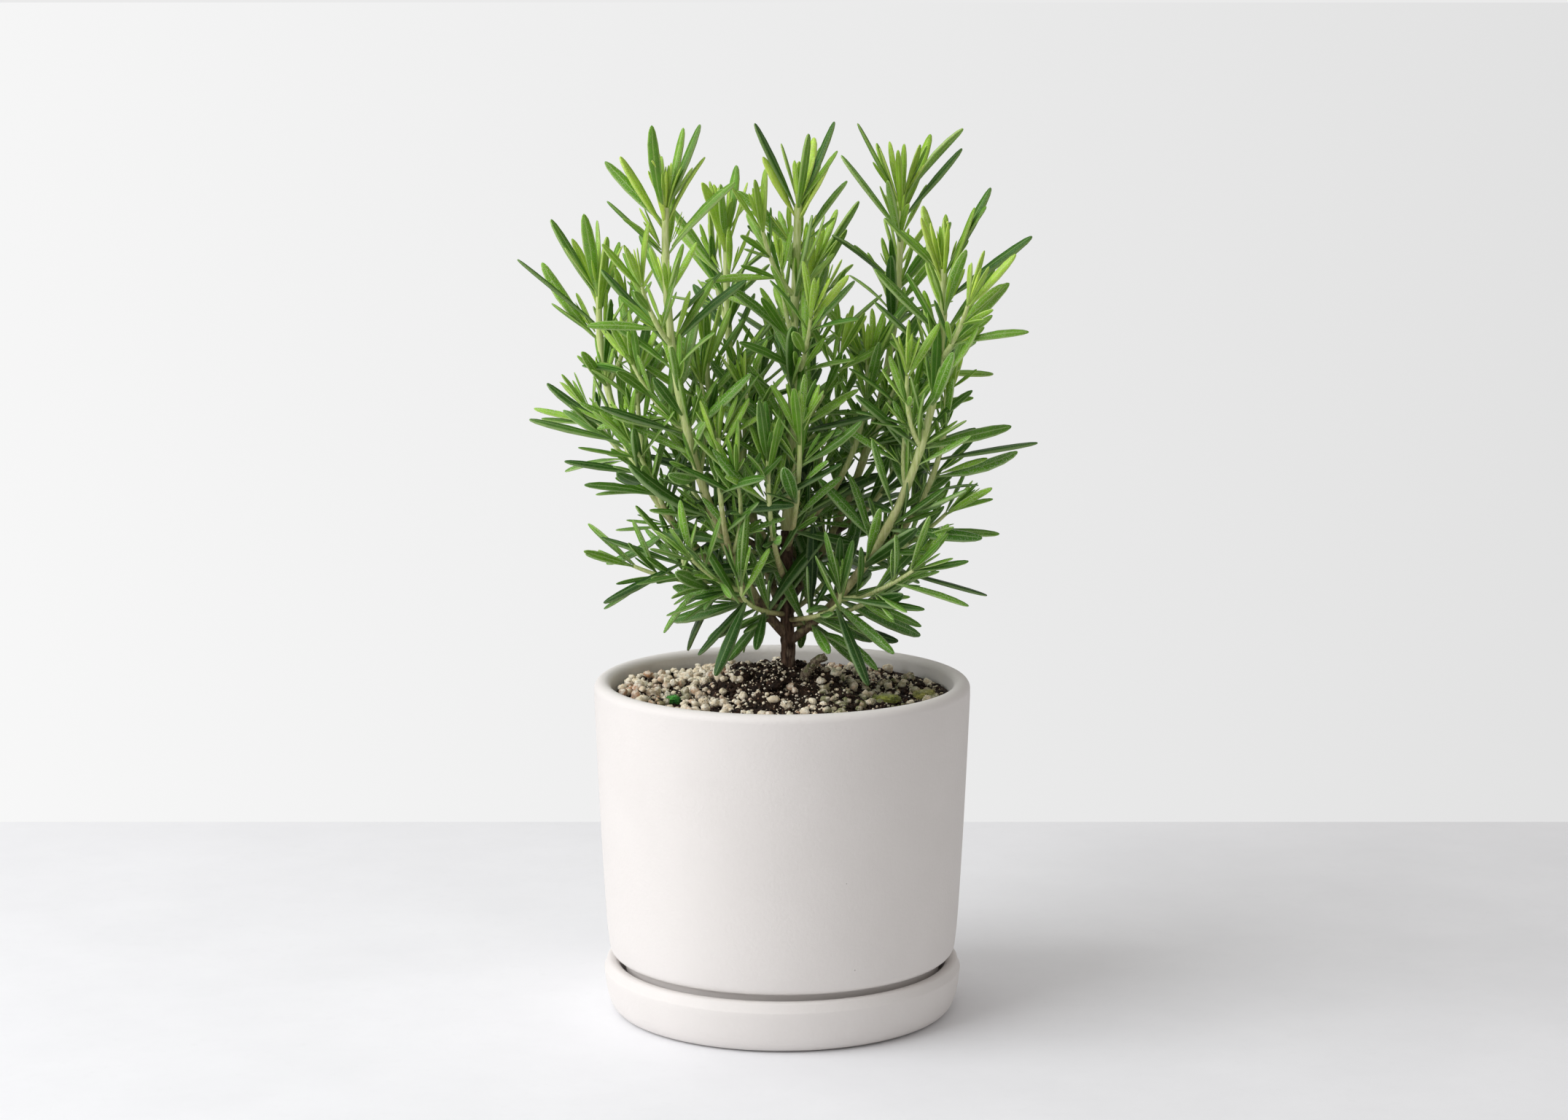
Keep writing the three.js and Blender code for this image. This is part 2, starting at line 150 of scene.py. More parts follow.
def noise(tree, place, size_mm, detail=3.0, roughness=0.55):
    """Soft noise whose blotches are about size_mm across."""
    inputs = {"Vector": place, "Scale": 1 / (size_mm * MM), "Detail": detail, "Roughness": roughness}
    return shader(tree, "TexNoise", inputs).outputs["Fac"]


def between(tree, value, low, high, to_low=0.0, to_high=1.0):
    """Rescales the span low..high to to_low..to_high, and clamps it."""
    inputs = {"Value": value, "From Min": low, "From Max": high, "To Min": to_low, "To Max": to_high}
    return shader(tree, "MapRange", inputs).outputs["Result"]


def blend(tree, share, colour_a, colour_b, mode="MIX"):
    """Colour a going over to colour b as share goes from 0 to 1."""
    made = tree.nodes.new("ShaderNodeMix")
    made.data_type = "RGBA"
    made.blend_type = mode
    for index, value in ((0, share), (6, colour_a), (7, colour_b)):
        if isinstance(value, bpy.types.NodeSocket):
            tree.links.new(value, made.inputs[index])
        else:
            made.inputs[index].default_value = value if index == 0 else (*value, 1)
    return made.outputs[2]


def relief(tree, surface, *layers):
    """Stacks bump layers, each a height from 0 to 1, its depth in mm and its strength, on the shader."""
    normal = None
    for height, depth_mm, strength in layers:
        inputs = {"Height": height, "Distance": depth_mm * MM, "Strength": strength}
        if normal is not None:
            inputs["Normal"] = normal
        normal = shader(tree, "Bump", inputs).outputs["Normal"]
    tree.links.new(normal, surface.inputs["Normal"])


def white_stoneware(name):
    """Matt off-white glaze with an eggshell skin, faint mottling, and a few iron specks from the clay."""
    material, tree, surface, place = start_material(name, 0.58, 0.4)
    mottle = between(tree, noise(tree, place, 28, 4), 0.35, 0.65)
    glaze = blend(tree, mottle, (0.785, 0.75, 0.727), (0.805, 0.77, 0.747))
    cells = cell_pattern(tree, place, 13)
    near = between(tree, cells.outputs["Distance"], 0.014, 0.028, 1, 0)
    pick = shader(tree, "SeparateColor", {"Color": cells.outputs["Color"]})
    some = between(tree, pick.outputs["Red"], 0.5, 0.52)
    speck = maths(tree, "MULTIPLY", near, some)
    speck = maths(tree, "MULTIPLY", speck, 0.75)
    tree.links.new(blend(tree, speck, glaze, (0.16, 0.125, 0.1)), surface.inputs["Base Color"])
    dull = between(tree, noise(tree, place, 9), 0.3, 0.7, 0.52, 0.64)
    tree.links.new(dull, surface.inputs["Roughness"])
    eggshell = noise(tree, place, 1.3, 3.0)
    unevenness = noise(tree, place, 34, 1.0)
    relief(tree, surface, (unevenness, 0.5, 0.1), (eggshell, 0.13, 0.9))
    return material


def settle(piece, material, slot, *nodes):
    """Gives a finished piece its material, and lets it stand for its nodes of the part."""
    piece.data.materials.clear()
    piece.data.materials.append(material)
    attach(piece, "root")
    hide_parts(*nodes)
    return piece


SAUCER_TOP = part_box("saucer")[1].z / MM
SAUCER_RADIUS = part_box("saucer")[1].x / MM
SAUCER_BASE_RADIUS = 56
SAUCER_FLOOR = 4
lip = SAUCER_TOP - 2.2
saucer = throw_on_wheel(
    "saucer",
    [
        (0, 0.5),
        (49.5, 0.5),
        *round_corner(51.2, 0.5, 0.5, 180, 270, 3),
        (SAUCER_BASE_RADIUS - 1.4, 0),
        (SAUCER_BASE_RADIUS + 0.6, 0.25),
        (SAUCER_BASE_RADIUS + 2.2, 0.95),
        (SAUCER_BASE_RADIUS + 3.4, 2.1),
        (SAUCER_BASE_RADIUS + 4.3, 3.8),
        (SAUCER_BASE_RADIUS + 5.0, 6),
        (SAUCER_BASE_RADIUS + 5.6, 9),
        (SAUCER_RADIUS - 0.3, 12.4),
        *round_corner(SAUCER_RADIUS - 1.6, lip - 1.6, 1.6, 5, 45, 4),
        *round_corner(SAUCER_RADIUS - 2.6, lip, 2.2, 45, 90, 5),
        *round_corner(SAUCER_RADIUS - 3.4, lip + 0.4, 1.8, 90, 175, 7),
        (SAUCER_RADIUS - 5.4, 12),
        (SAUCER_RADIUS - 6.0, 8.5),
        *round_corner(SAUCER_RADIUS - 10, SAUCER_FLOOR + 3.6, 3.6, 350, 270, 5),
        (0, SAUCER_FLOOR),
    ],
    144,
)
settle(saucer, white_stoneware("saucer glaze"), "saucer_ceramic", "saucer")


# ---- Pot ----
# A slightly tapered pot of the same stoneware, thrown and turned. The rim is thick and round, with a
# faint waist under it. The body stops short of the saucer, and a narrower foot carries it.
POT_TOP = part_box("pot")[1].z / MM
POT_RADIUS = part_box("pot")[1].x / MM
POT_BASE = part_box("pot")[0].z / MM
POT_SHOULDER = 20
POT_SHOULDER_RADIUS = 60.2
POT_INSIDE = POT_RADIUS - 5.8
FOOT_RADIUS = 53
DRAIN_RADIUS = 7


def pot_side(steps):
    """The outside of the body from its lower edge up: it bows out a little towards the rim."""
    low, high = POT_SHOULDER + 3.4, POT_TOP - 5.2
    rises = [i / steps for i in range(steps + 1)]
    widen = POT_RADIUS - 0.15 - POT_SHOULDER_RADIUS
    return [(POT_SHOULDER_RADIUS + 0.15 + widen * rise**0.72, low + (high - low) * rise) for rise in rises]


pot = throw_on_wheel(
    "pot",
    [
        (DRAIN_RADIUS, POT_BASE + 1.6),
        (42, POT_BASE + 1.6),
        *round_corner(45.5, POT_BASE + 1.2, 1.2, 200, 270, 3),
        *round_corner(FOOT_RADIUS - 1.5, POT_BASE + 1.5, 1.5, 270, 360, 4),
        (FOOT_RADIUS + 2.2, POT_SHOULDER - 3.5),
        *round_corner(FOOT_RADIUS + 4.4, POT_SHOULDER - 1.8, 1.8, 180, 90, 4),
        *round_corner(POT_SHOULDER_RADIUS - 3, POT_SHOULDER + 3, 3, 270, 352, 8),
        *pot_side(16),
        *round_corner(POT_RADIUS - 2.9, POT_TOP - 2.9, 2.9, -8, 90, 9),
        *round_corner(POT_RADIUS - 3.1, POT_TOP - 2.7, 2.7, 96, 172, 7),
        (POT_INSIDE - 0.2, POT_TOP - 7),
        (POT_INSIDE - 1.6, 92),
        (POT_INSIDE - 3.0, 70),
        (POT_INSIDE - 5.4, 40),
        *round_corner(POT_INSIDE - 13, POT_BASE + 13, 6, 350, 270, 5),
        (DRAIN_RADIUS, POT_BASE + 7),
        (DRAIN_RADIUS, POT_BASE + 1.6),
    ],
    160,
)
settle(pot, white_stoneware("pot glaze"), "pot_ceramic", "pot")


# ---- Potting mix ----
# Damp peat and fine bark, filled in loose and watered, so that it is crumbly on top and stands in a
# low mound round the trunk. The body is turned to fit the pot, and its top is then roughened.
SOIL_EDGE = 110.5
MOUND_HEIGHT = 10.5
MOUND_SPREAD = 24
SOIL_RADIUS = POT_INSIDE - 0.3
SOIL_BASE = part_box("potting_mix")[0].z / MM


def soil_height(radius):
    """The mean height of the surface at a distance from the middle, in mm."""
    return SOIL_EDGE + MOUND_HEIGHT * math.exp(-((radius / MOUND_SPREAD) ** 2))


def roughen(piece, group, *layers):
    """Applies Displace modifiers to a vertex group, each with its pattern, size and depth in mm."""
    for kind, size_mm, depth_mm in layers:
        pattern = bpy.data.textures.new(piece.name + " roughness", kind)
        pattern.noise_scale = size_mm * MM
        modifier = piece.modifiers.new("roughen", "DISPLACE")
        modifier.texture = pattern
        modifier.texture_coords = "LOCAL"
        modifier.strength = depth_mm * MM
        modifier.mid_level = 0.5
        if group:
            modifier.vertex_group = group
        bpy.context.view_layer.objects.active = piece
        bpy.ops.object.modifier_apply(modifier=modifier.name)


TOP_RADIUS = SOIL_RADIUS - 0.8
RINGS = 62
ring_shares = [1 - i / RINGS for i in range(RINGS + 1)]
soil = throw_on_wheel(
    "potting_mix",
    [
        (0, SOIL_BASE),
        (SOIL_RADIUS - 14, SOIL_BASE),
        (SOIL_RADIUS - 8.5, SOIL_BASE + 5),
        (SOIL_RADIUS - 5.6, 42),
        (SOIL_RADIUS - 3.4, 70),
        (SOIL_RADIUS - 1.9, 94),
        (SOIL_RADIUS - 0.7, 108.5),
    ]
    + [(TOP_RADIUS * share, soil_height(SOIL_RADIUS * share)) for share in ring_shares],
    200,
)
SMOOTH_EDGE = 4
top = soil.vertex_groups.new(name="top")
for vertex in soil.data.vertices:
    across = math.hypot(vertex.co.x, vertex.co.y) / MM
    if vertex.co.z > (SOIL_EDGE - 1.5) * MM:
        top.add([vertex.index], min(1.0, max(0.0, (TOP_RADIUS - across) / SMOOTH_EDGE)), "REPLACE")
roughen(soil, "top", ("CLOUDS", 14, 6.0), ("CLOUDS", 4.5, 3.2), ("VORONOI", 1.6, -1.5))


def peat(name):
    """Near-black brown crumbs with rusty fibres, damp enough to glint a little."""
    material, tree, surface, place = start_material(name, 0.85, 0.22)
    patches = between(tree, noise(tree, place, 3, 5), 0.38, 0.68)
    brown = blend(tree, patches, (0.008, 0.0046, 0.003), (0.04, 0.021, 0.013))
    flecks = between(tree, noise(tree, place, 0.9, 2), 0.6, 0.7)
    brown = blend(tree, flecks, brown, (0.13, 0.07, 0.042))
    dots = cell_pattern(tree, place, 1.25)
    dot = between(tree, dots.outputs["Distance"], 0.17, 0.24, 1, 0)
    pick = shader(tree, "SeparateColor", {"Color": dots.outputs["Color"]})
    dot = maths(tree, "MULTIPLY", dot, between(tree, pick.outputs[0], 0.62, 0.64))
    tree.links.new(blend(tree, dot, brown, (0.42, 0.34, 0.235)), surface.inputs["Base Color"])
    dull = between(tree, noise(tree, place, 1.5), 0.35, 0.7, 0.6, 0.95)
    tree.links.new(dull, surface.inputs["Roughness"])
    relief(tree, surface, (noise(tree, place, 0.8, 4), 0.35, 0.8))
    return material


settle(soil, peat("peat"), "potting_mix", "potting_mix")


# ---- Peat crumbs and lumps ----
# The loose top of the mix: crumbs from half a millimetre to three across, with four bigger lumps
# on the mound. One crumb is shaped from a block and strewn by copying.
class Chance:
    """The same seed always gives the same plant: the minimal standard generator."""

    def __init__(self, seed):
        self.state = seed

    def __call__(self, low=0.0, high=1.0):
        self.state = self.state * 16807 % 2147483647
        return low + (high - low) * self.state / 2147483647


def pebble(name, cuts, seed, unevenness):
    """A block subdivided, rounded and knocked out of true: the model for a crumb or a grain."""
    deselect()
    bpy.ops.mesh.primitive_cube_add(size=1.2, location=(0, 0, 0))
    block = bpy.context.object
    block.name = name
    bpy.ops.object.mode_set(mode="EDIT")
    bpy.ops.mesh.subdivide(number_cuts=cuts)
    bpy.ops.transform.tosphere(value=0.85)
    bpy.ops.transform.vertex_random(offset=unevenness, uniform=0.4, seed=seed)
    bpy.ops.object.mode_set(mode="OBJECT")
    bpy.ops.object.shade_smooth()
    return block


def tint(piece, key, value):
    """Writes a number, or one for each vertex, on a piece as an attribute for its material to read."""
    values = np.full(len(piece.data.vertices), value, np.float32)
    piece.data.attributes.new(key, "FLOAT", "POINT").data.foreach_set("value", values)


def place_copy(model, matrix, tints=None):
    """A copy of a model with its own mesh, moved to its place. Tints are attributes even over the copy."""
    copy = bpy.data.objects.new(model.name, model.data.copy())
    copy.data.transform(matrix)
    for key, value in (tints or {}).items():
        tint(copy, key, value)
    bpy.context.scene.collection.objects.link(copy)
    return copy


def join_pieces(name, copies):
    """Joins copies into one piece, under one name."""
    deselect()
    for copy in copies:
        copy.select_set(True)
    bpy.context.view_layer.objects.active = copies[0]
    bpy.ops.object.join()
    joined = bpy.context.object
    joined.name = name
    joined.data.name = name
    return joined


def discard(*models):
    """Removes models that have been copied to all their places."""
    for model in models:
        bpy.data.meshes.remove(model.data)


def turned_about(chance):
    """A rotation to any side."""
    turned = Matrix()
    for axis in "ZXY":
        turned = turned @ Matrix.Rotation(chance(0, 2 * math.pi), 4, axis)
    return turned


def lump_matrix(centre, size, chance):
    """Places a unit lump: turned to any side, then flattened and scaled to its size in mm."""
    shape = Matrix.Diagonal((*[s * MM for s in size], 1))
    return Matrix.Translation(centre) @ shape @ turned_about(chance)


def lump(node, cuts, seed, *layers):
    """A larger lump that fills the box of its node: a rounded block, subdivided finely and roughened."""
    low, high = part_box(node)
    model = pebble(node, cuts, seed, 0.08)
    size = Matrix.Diagonal((*((high - low) / 2 * 0.97), 1))
    model.data.transform(Matrix.Translation((low + high) / 2) @ size)
    roughen(model, None, *layers)
    return model


lumps = []
for i, side in enumerate(("left", "right", "front", "back")):
    node = "peat_lump_" + side
    piece = lump(node, 12, 20 + i, ("CLOUDS", 2.4, 1.1), ("VORONOI", 0.9, -0.6))
    settle(piece, peat("lump peat " + side), "potting_mix", node)
    lumps.append(piece)


def surface_of(piece):
    """A piece's faces, ready to be found by a ray."""
    mesh = piece.data
    return BVHTree.FromPolygons([v.co for v in mesh.vertices], [p.vertices for p in mesh.polygons])


grounds = [surface_of(piece) for piece in (soil, *lumps)]


def on_soil(x_mm, y_mm):
    """The highest point of the mix and its lumps straight below a place."""
    above = Vector((x_mm * MM, y_mm * MM, 0.2))
    hits = [ground.ray_cast(above, Vector((0, 0, -1)))[0] for ground in grounds]
    return max((hit for hit in hits if hit), key=lambda hit: hit.z)


CRUMBS = 3000
crumb_models = [pebble("crumb", 1, 3 + i, 0.3) for i in range(3)]
chance = Chance(90210)
crumbs = []
for i in range(CRUMBS):
    bearing = chance(0, 2 * math.pi)
    radius = (SOIL_RADIUS - 2.2) * chance() ** 0.56
    size = 0.4 + 0.85 * chance() ** 2.2
    spot = on_soil(radius * math.cos(bearing), radius * math.sin(bearing))
    spot.z += size * 0.25 * MM
    sizes = [size * chance(0.75, 1.25), size * chance(0.75, 1.25), size * chance(0.6, 1)]
    crumbs.append(place_copy(crumb_models[i % 3], lump_matrix(spot, sizes, chance)))
settle(join_pieces("peat_crumbs", crumbs), peat("loose peat"), "potting_mix")
discard(*crumb_models)


# ---- Pumice ----
# Dry volcanic grains strewn over the mix, from half a millimetre to 7 mm, and heaped at the left: cream
# and bone white, pitted and knobbly, a few rusty, and greener where algae have settled at the right.
def attribute(tree, key):
    """A number that the mesh carries."""
    return shader(tree, "Attribute", attribute_name=key).outputs["Fac"]


def pumice(name):
    """Pale pitted stone, rusty at low tone, with painted shade in its pores and a film of algae where the
    grain says so.
    """
    material, tree, surface, place = start_material(name, 0.95, 0.2)
    tone = attribute(tree, "tone")
    green = attribute(tree, "algae")
    stone = blend(tree, tone, (0.46, 0.23, 0.12), (0.97, 0.85, 0.62))
    bone = between(tree, noise(tree, place, 1.6, 4), 0.4, 0.66, 0, 0.9)
    stone = blend(tree, bone, stone, (0.99, 0.95, 0.83))
    pits = cell_pattern(tree, place, 0.75).outputs["Distance"]
    dark = between(tree, pits, 0.1, 0.42, 0.0, 1.0)
    # Painted shade: small dark brown spots stand for the shade in the pores.
    painted_pore_shade = between(tree, noise(tree, place, 0.55, 3), 0.26, 0.38)
    stone = blend(tree, painted_pore_shade, (0.42, 0.31, 0.2), stone)
    film = between(tree, noise(tree, place, 2.6, 4), 0.36, 0.56)
    film = maths(tree, "MULTIPLY", film, green)
    tree.links.new(blend(tree, film, stone, (0.17, 0.185, 0.08)), surface.inputs["Base Color"])
    relief(tree, surface, (dark, 0.25, 0.8), (noise(tree, place, 0.6, 4), 0.2, 0.8))
    return material


pumice_finish = pumice("pumice")
grain_nodes = sorted(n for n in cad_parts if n.startswith("pumice_"))
chance = Chance(777)
for i, node in enumerate(grain_nodes):
    piece = lump(node, 13, 40 + i, ("CLOUDS", 2.6, 1.5), ("VORONOI", 1.5, -1.0), ("CLOUDS", 0.7, 0.35))
    middle = sum(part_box(node), Vector()) / 2
    tint(piece, "tone", chance(0.45, 1))
    tint(piece, "algae", 0.9 if middle.x > 12 * MM else 0.15)
    settle(piece, pumice_finish, "pumice", node)


def nodule(name, seed, cuts, unevenness, *layers):
    """A unit model for a strewn grain: a pebble roughened at the size of a grain."""
    model = pebble(name, cuts, seed, unevenness)
    grain = 2 * MM
    for vertex in model.data.vertices:
        vertex.co *= grain
    roughen(model, None, *layers)
    for vertex in model.data.vertices:
        vertex.co /= grain
    return model


big_models = [nodule("nodule", 60 + i, 2, 0.2, ("CLOUDS", 2.0, 1.9)) for i in range(6)]
small_models = [nodule("chip", 70 + i, 1, 0.25) for i in range(4)]
moss_nodes = ("moss_left", "moss_right", "moss_far_right")
keep_clear = [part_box(n) for n in (*grain_nodes, *moss_nodes)]
taken = [((low + high) / 2, (high.x - low.x) / 2) for low, high in keep_clear]
left_moss = sum(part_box("moss_left"), Vector()) / 2
BIG_TRIES = 2600
TRIES = 11000
BARE_MOUND = 17
grains = []
for attempt in range(TRIES):
    big = attempt < BIG_TRIES
    bearing = chance(0, 2 * math.pi)
    radius = (SOIL_RADIUS - 3.2) * chance() ** (0.36 if big else 0.5)
    x, y = radius * math.cos(bearing), radius * math.sin(bearing)
    at_left, in_front, at_right = x < -8 - 0.2 * abs(y), y < -33, x > 14 and y < 14
    size = 1.1 + 1.15 * chance() if big else 0.3 + 0.7 * chance() ** 2
    if not big:
        likely = 0.42
    elif radius < BARE_MOUND:
        likely = 0.012
    else:
        likely = 0.4 if at_left else 0.3 if in_front else 0.17 if at_right else 0.05
    if chance() > likely:
        continue
    spot = on_soil(x, y)
    crowding = 0.6 if at_left else 0.72
    if any((spot - centre).xy.length < crowding * (reach + size * MM) for centre, reach in taken):
        continue
    taken.append((spot, size * MM))
    sizes = [size * chance(0.8, 1.2), size * chance(0.8, 1.2), size * chance(0.75, 1)]
    rusty = 0.85 if x > -20 else 0.6 if x < -42 else 0.8
    tone = chance(0, 0.35) if chance() > rusty else chance(0.35, 0.9) if at_right else chance(0.7, 1)
    damp = at_right or (spot - left_moss).xy.length < 7 * MM
    tints = {"tone": tone, "algae": chance(0.6, 1) if damp else chance(0, 0.2)}
    heap = chance(0, 1.6) if big and at_left else 0
    centre = spot + Vector((0, 0, (size * 0.4 + heap) * MM))
    models = big_models if big else small_models
    model = models[len(grains) % len(models)]
    grains.append(place_copy(model, lump_matrix(centre, sizes, chance), tints))
settle(join_pieces("pumice_grains", grains), pumice_finish, "pumice")
discard(*big_models, *small_models)


# ---- Moss ----
# Low cushions of olive moss on the damp side, and a bright fresh tuft at the left. Each is a soft
# crumbly body set all over with short pointed tufts.
def moss(name, dark, light):
    """Fine soft green in darker and lighter patches."""
    material, tree, surface, place = start_material(name, 0.95, 0.15)
    patches = between(tree, noise(tree, place, 1.8, 4), 0.35, 0.65)
    tree.links.new(blend(tree, patches, dark, light), surface.inputs["Base Color"])
    surface.inputs["Sheen Weight"].default_value = 0.25
    relief(tree, surface, (noise(tree, place, 0.5, 3), 0.3, 0.7))
    return material


TUFTS = 260
TUFT_WIDTH = 0.32
deselect()
bpy.ops.mesh.primitive_cone_add(vertices=5, radius1=0.3, radius2=0.06, depth=1, location=(0, 0, 0.5))
tuft_model = bpy.context.object
bpy.ops.object.mode_set(mode="EDIT")
vertices_where(tuft_model, lambda place: place.z > 0.4)
bpy.ops.transform.translate(value=(0.12, 0, 0))
bpy.ops.object.mode_set(mode="OBJECT")
chance = Chance(1313)
for node, slot, dark, light in (
    ("moss_right", "moss", (0.1, 0.12, 0.02), (0.36, 0.39, 0.08)),
    ("moss_far_right", "moss", (0.12, 0.13, 0.03), (0.42, 0.4, 0.11)),
    ("moss_left", "moss_bright", (0.02, 0.16, 0.02), (0.1, 0.42, 0.06)),
):
    body = lump(node, 12, 80, ("CLOUDS", 2.2, 1.2), ("CLOUDS", 0.8, 0.6))
    tufts = [body]
    crown = [(v.co.copy(), v.normal.copy()) for v in body.data.vertices if v.normal.z > 0.15]
    for _ in range(TUFTS):
        spot, out = crown[int(chance() * (len(crown) - 1))]
        way = out + Vector((chance(-0.5, 0.5), chance(-0.5, 0.5), chance(0, 0.5)))
        lean = way.to_track_quat("Z", "Y").to_matrix().to_4x4()
        turn = Matrix.Rotation(chance(0, 2 * math.pi), 4, "Z")
        shape = Matrix.Diagonal((TUFT_WIDTH * MM, TUFT_WIDTH * MM, chance(0.35, 0.8) * MM, 1))
        tufts.append(place_copy(tuft_model, Matrix.Translation(spot) @ lean @ turn @ shape))
    settle(join_pieces(node, tufts), moss(node + " green", dark, light), slot, node)
discard(tuft_model)


# ---- Trunk, roots and branches ----
# The trunk is old brown wood with furrowed bark. The branches and side shoots that leave it are tan
# and woody low down and turn to smooth pale green stem, a little swollen at every pair of leaves.
def heading(bearing, rise=0.0):
    """The direction at a bearing, in degrees from +X round to +Y, and a rise above level."""
    b, r = math.radians(bearing), math.radians(rise)
    return Vector((math.cos(b) * math.cos(r), math.sin(b) * math.cos(r), math.sin(r)))


class Route:
    """A smooth line with evenly spaced shares of its length."""

    def __init__(self, points):
        self.points = np.array([tuple(p) for p in points], float)
        steps = np.linalg.norm(np.diff(self.points, axis=0), axis=1)
        self.travelled = np.concatenate([[0], np.cumsum(steps)])
        self.length = self.travelled[-1]

    def at(self, share):
        reach = min(max(share, 0), 1) * self.length
        return Vector([np.interp(reach, self.travelled, self.points[:, k]) for k in range(3)])

    def along(self, share):
        return (self.at(min(share + 0.02, 1)) - self.at(max(share - 0.02, 0))).normalized()

    def share_at_height(self, height):
        return float(np.interp(height, self.points[:, 2], self.travelled / self.length))


def smooth_route(places):
    """A route that passes every place, with the ends carried straight on."""
    spots = [Vector(p) for p in places]
    spots = [spots[0] * 2 - spots[1], *spots, spots[-1] * 2 - spots[-2]]
    points = []
    for a, b, c, d in zip(spots, spots[1:], spots[2:], spots[3:]):
        for t in np.linspace(0, 1, 30, endpoint=False):
            bend = (a * 2 - b * 5 + c * 4 - d) * t * t + (b * 3 - a - c * 3 + d) * t * t * t
            points.append((b * 2 + (c - a) * t + bend) / 2)
    return Route([*points, spots[-2]])


def shoot_route(start, bearing, reach, top):
    """Out from the parent, then up, like a candlestick's arm."""
    out = heading(bearing)
    ends = [start]
    for out_share, rise_share in ((0.6, 0.18), (1.05, 0.55), (1, 1)):
        place = start + out * (reach * out_share)
        place.z = start.z + (top - start.z) * rise_share
        ends.append(place)
    a, b, c, d = ends
    points = []
    for t in np.linspace(0, 1, 80):
        s = 1 - t
        points.append(a * s**3 + b * 3 * t * s**2 + c * 3 * t * t * s + d * t**3)
    return Route(points)


def grow_stem(name, route, radius_at, steps, sides=10):
    """A round stem drawn as a bevelled curve along a route in mm, and made into a mesh."""
    curve = bpy.data.curves.new(name, "CURVE")
    curve.dimensions = "3D"
    curve.bevel_depth = 1
    curve.bevel_resolution = (sides - 4) // 2
    curve.use_fill_caps = True
    spline = curve.splines.new("POLY")
    spline.points.add(steps)
    for i, point in enumerate(spline.points):
        share = i / steps
        point.co = (*(route.at(share) * MM), 1)
        point.radius = radius_at(share) * MM
    stem = bpy.data.objects.new(name, curve)
    bpy.context.scene.collection.objects.link(stem)
    deselect()
    stem.select_set(True)
    bpy.context.view_layer.objects.active = stem
    bpy.ops.object.convert(target="MESH")
    bpy.ops.object.mode_set(mode="EDIT")
    bpy.ops.mesh.select_all(action="SELECT")
    bpy.ops.mesh.remove_doubles(threshold=1e-6)
    bpy.ops.mesh.normals_make_consistent(inside=False)
    bpy.ops.object.mode_set(mode="OBJECT")
    bpy.ops.object.shade_smooth_by_angle(angle=math.radians(60))
    return stem


def old_bark(name):
    """Red-brown bark, deeply furrowed and painted darker in each furrow, partly its own colour and partly
    painted shade, flaking to grey at the ridges.
    """
    material, tree, surface, place = start_material(name, 0.85, 0.25)
    long_way = shader(tree, "Mapping", {"Vector": place, "Scale": (1, 1, 0.22)}).outputs[0]
    furrows_and_shade = between(tree, noise(tree, long_way, 1.1, 5), 0.36, 0.62)
    # The low parts of the relief are painted dark: partly the bark's own colour, partly painted shade.
    bark = blend(tree, furrows_and_shade, (0.03, 0.016, 0.01), (0.14, 0.085, 0.057))
    flakes = between(tree, noise(tree, long_way, 2.4, 4), 0.58, 0.7)
    tree.links.new(blend(tree, flakes, bark, (0.24, 0.18, 0.13)), surface.inputs["Base Color"])
    relief(tree, surface, (furrows_and_shade, 0.5, 0.8), (noise(tree, place, 0.5, 3), 0.15, 0.5))
    return material


TRUNK = [(2, 0, 104), (2, 0, 124), (1.6, 0.4, 146), (1.6, 0.5, 168)]
LEADER = [(1.6, 0.5, 168.3), (3.3, 0, 200), (4.2, -0.5, 240), (5.4, 0, 280)]
ROOTS = 5


def trunk_radius(share):
    """Tapers upwards, and flares below the surface of the mix."""
    return 2.7 - 0.7 * share + 1.1 * max(0, 0.45 - share)


routes = {"trunk": smooth_route(TRUNK), "leader": smooth_route(LEADER)}
trunk = grow_stem("trunk_wood", routes["trunk"], trunk_radius, 90, 24)
roots = []
for i in range(ROOTS):
    bearing = 20 + 360 / ROOTS * i
    path = [Vector((2, 0, 107 - 62 * k / 10)) + heading(bearing) * 38 * (k / 10) ** 1.3 for k in range(11)]
    roots.append(grow_stem("root", Route(path), lambda share: 1.7 - 1.2 * share, 16, 10))
trunk = join_pieces("trunk", [trunk, *roots])
roughen(trunk, None, ("CLOUDS", 2.2, 0.9), ("CLOUDS", 0.8, 0.35))
settle(trunk, old_bark("trunk bark"), "bark", "trunk")

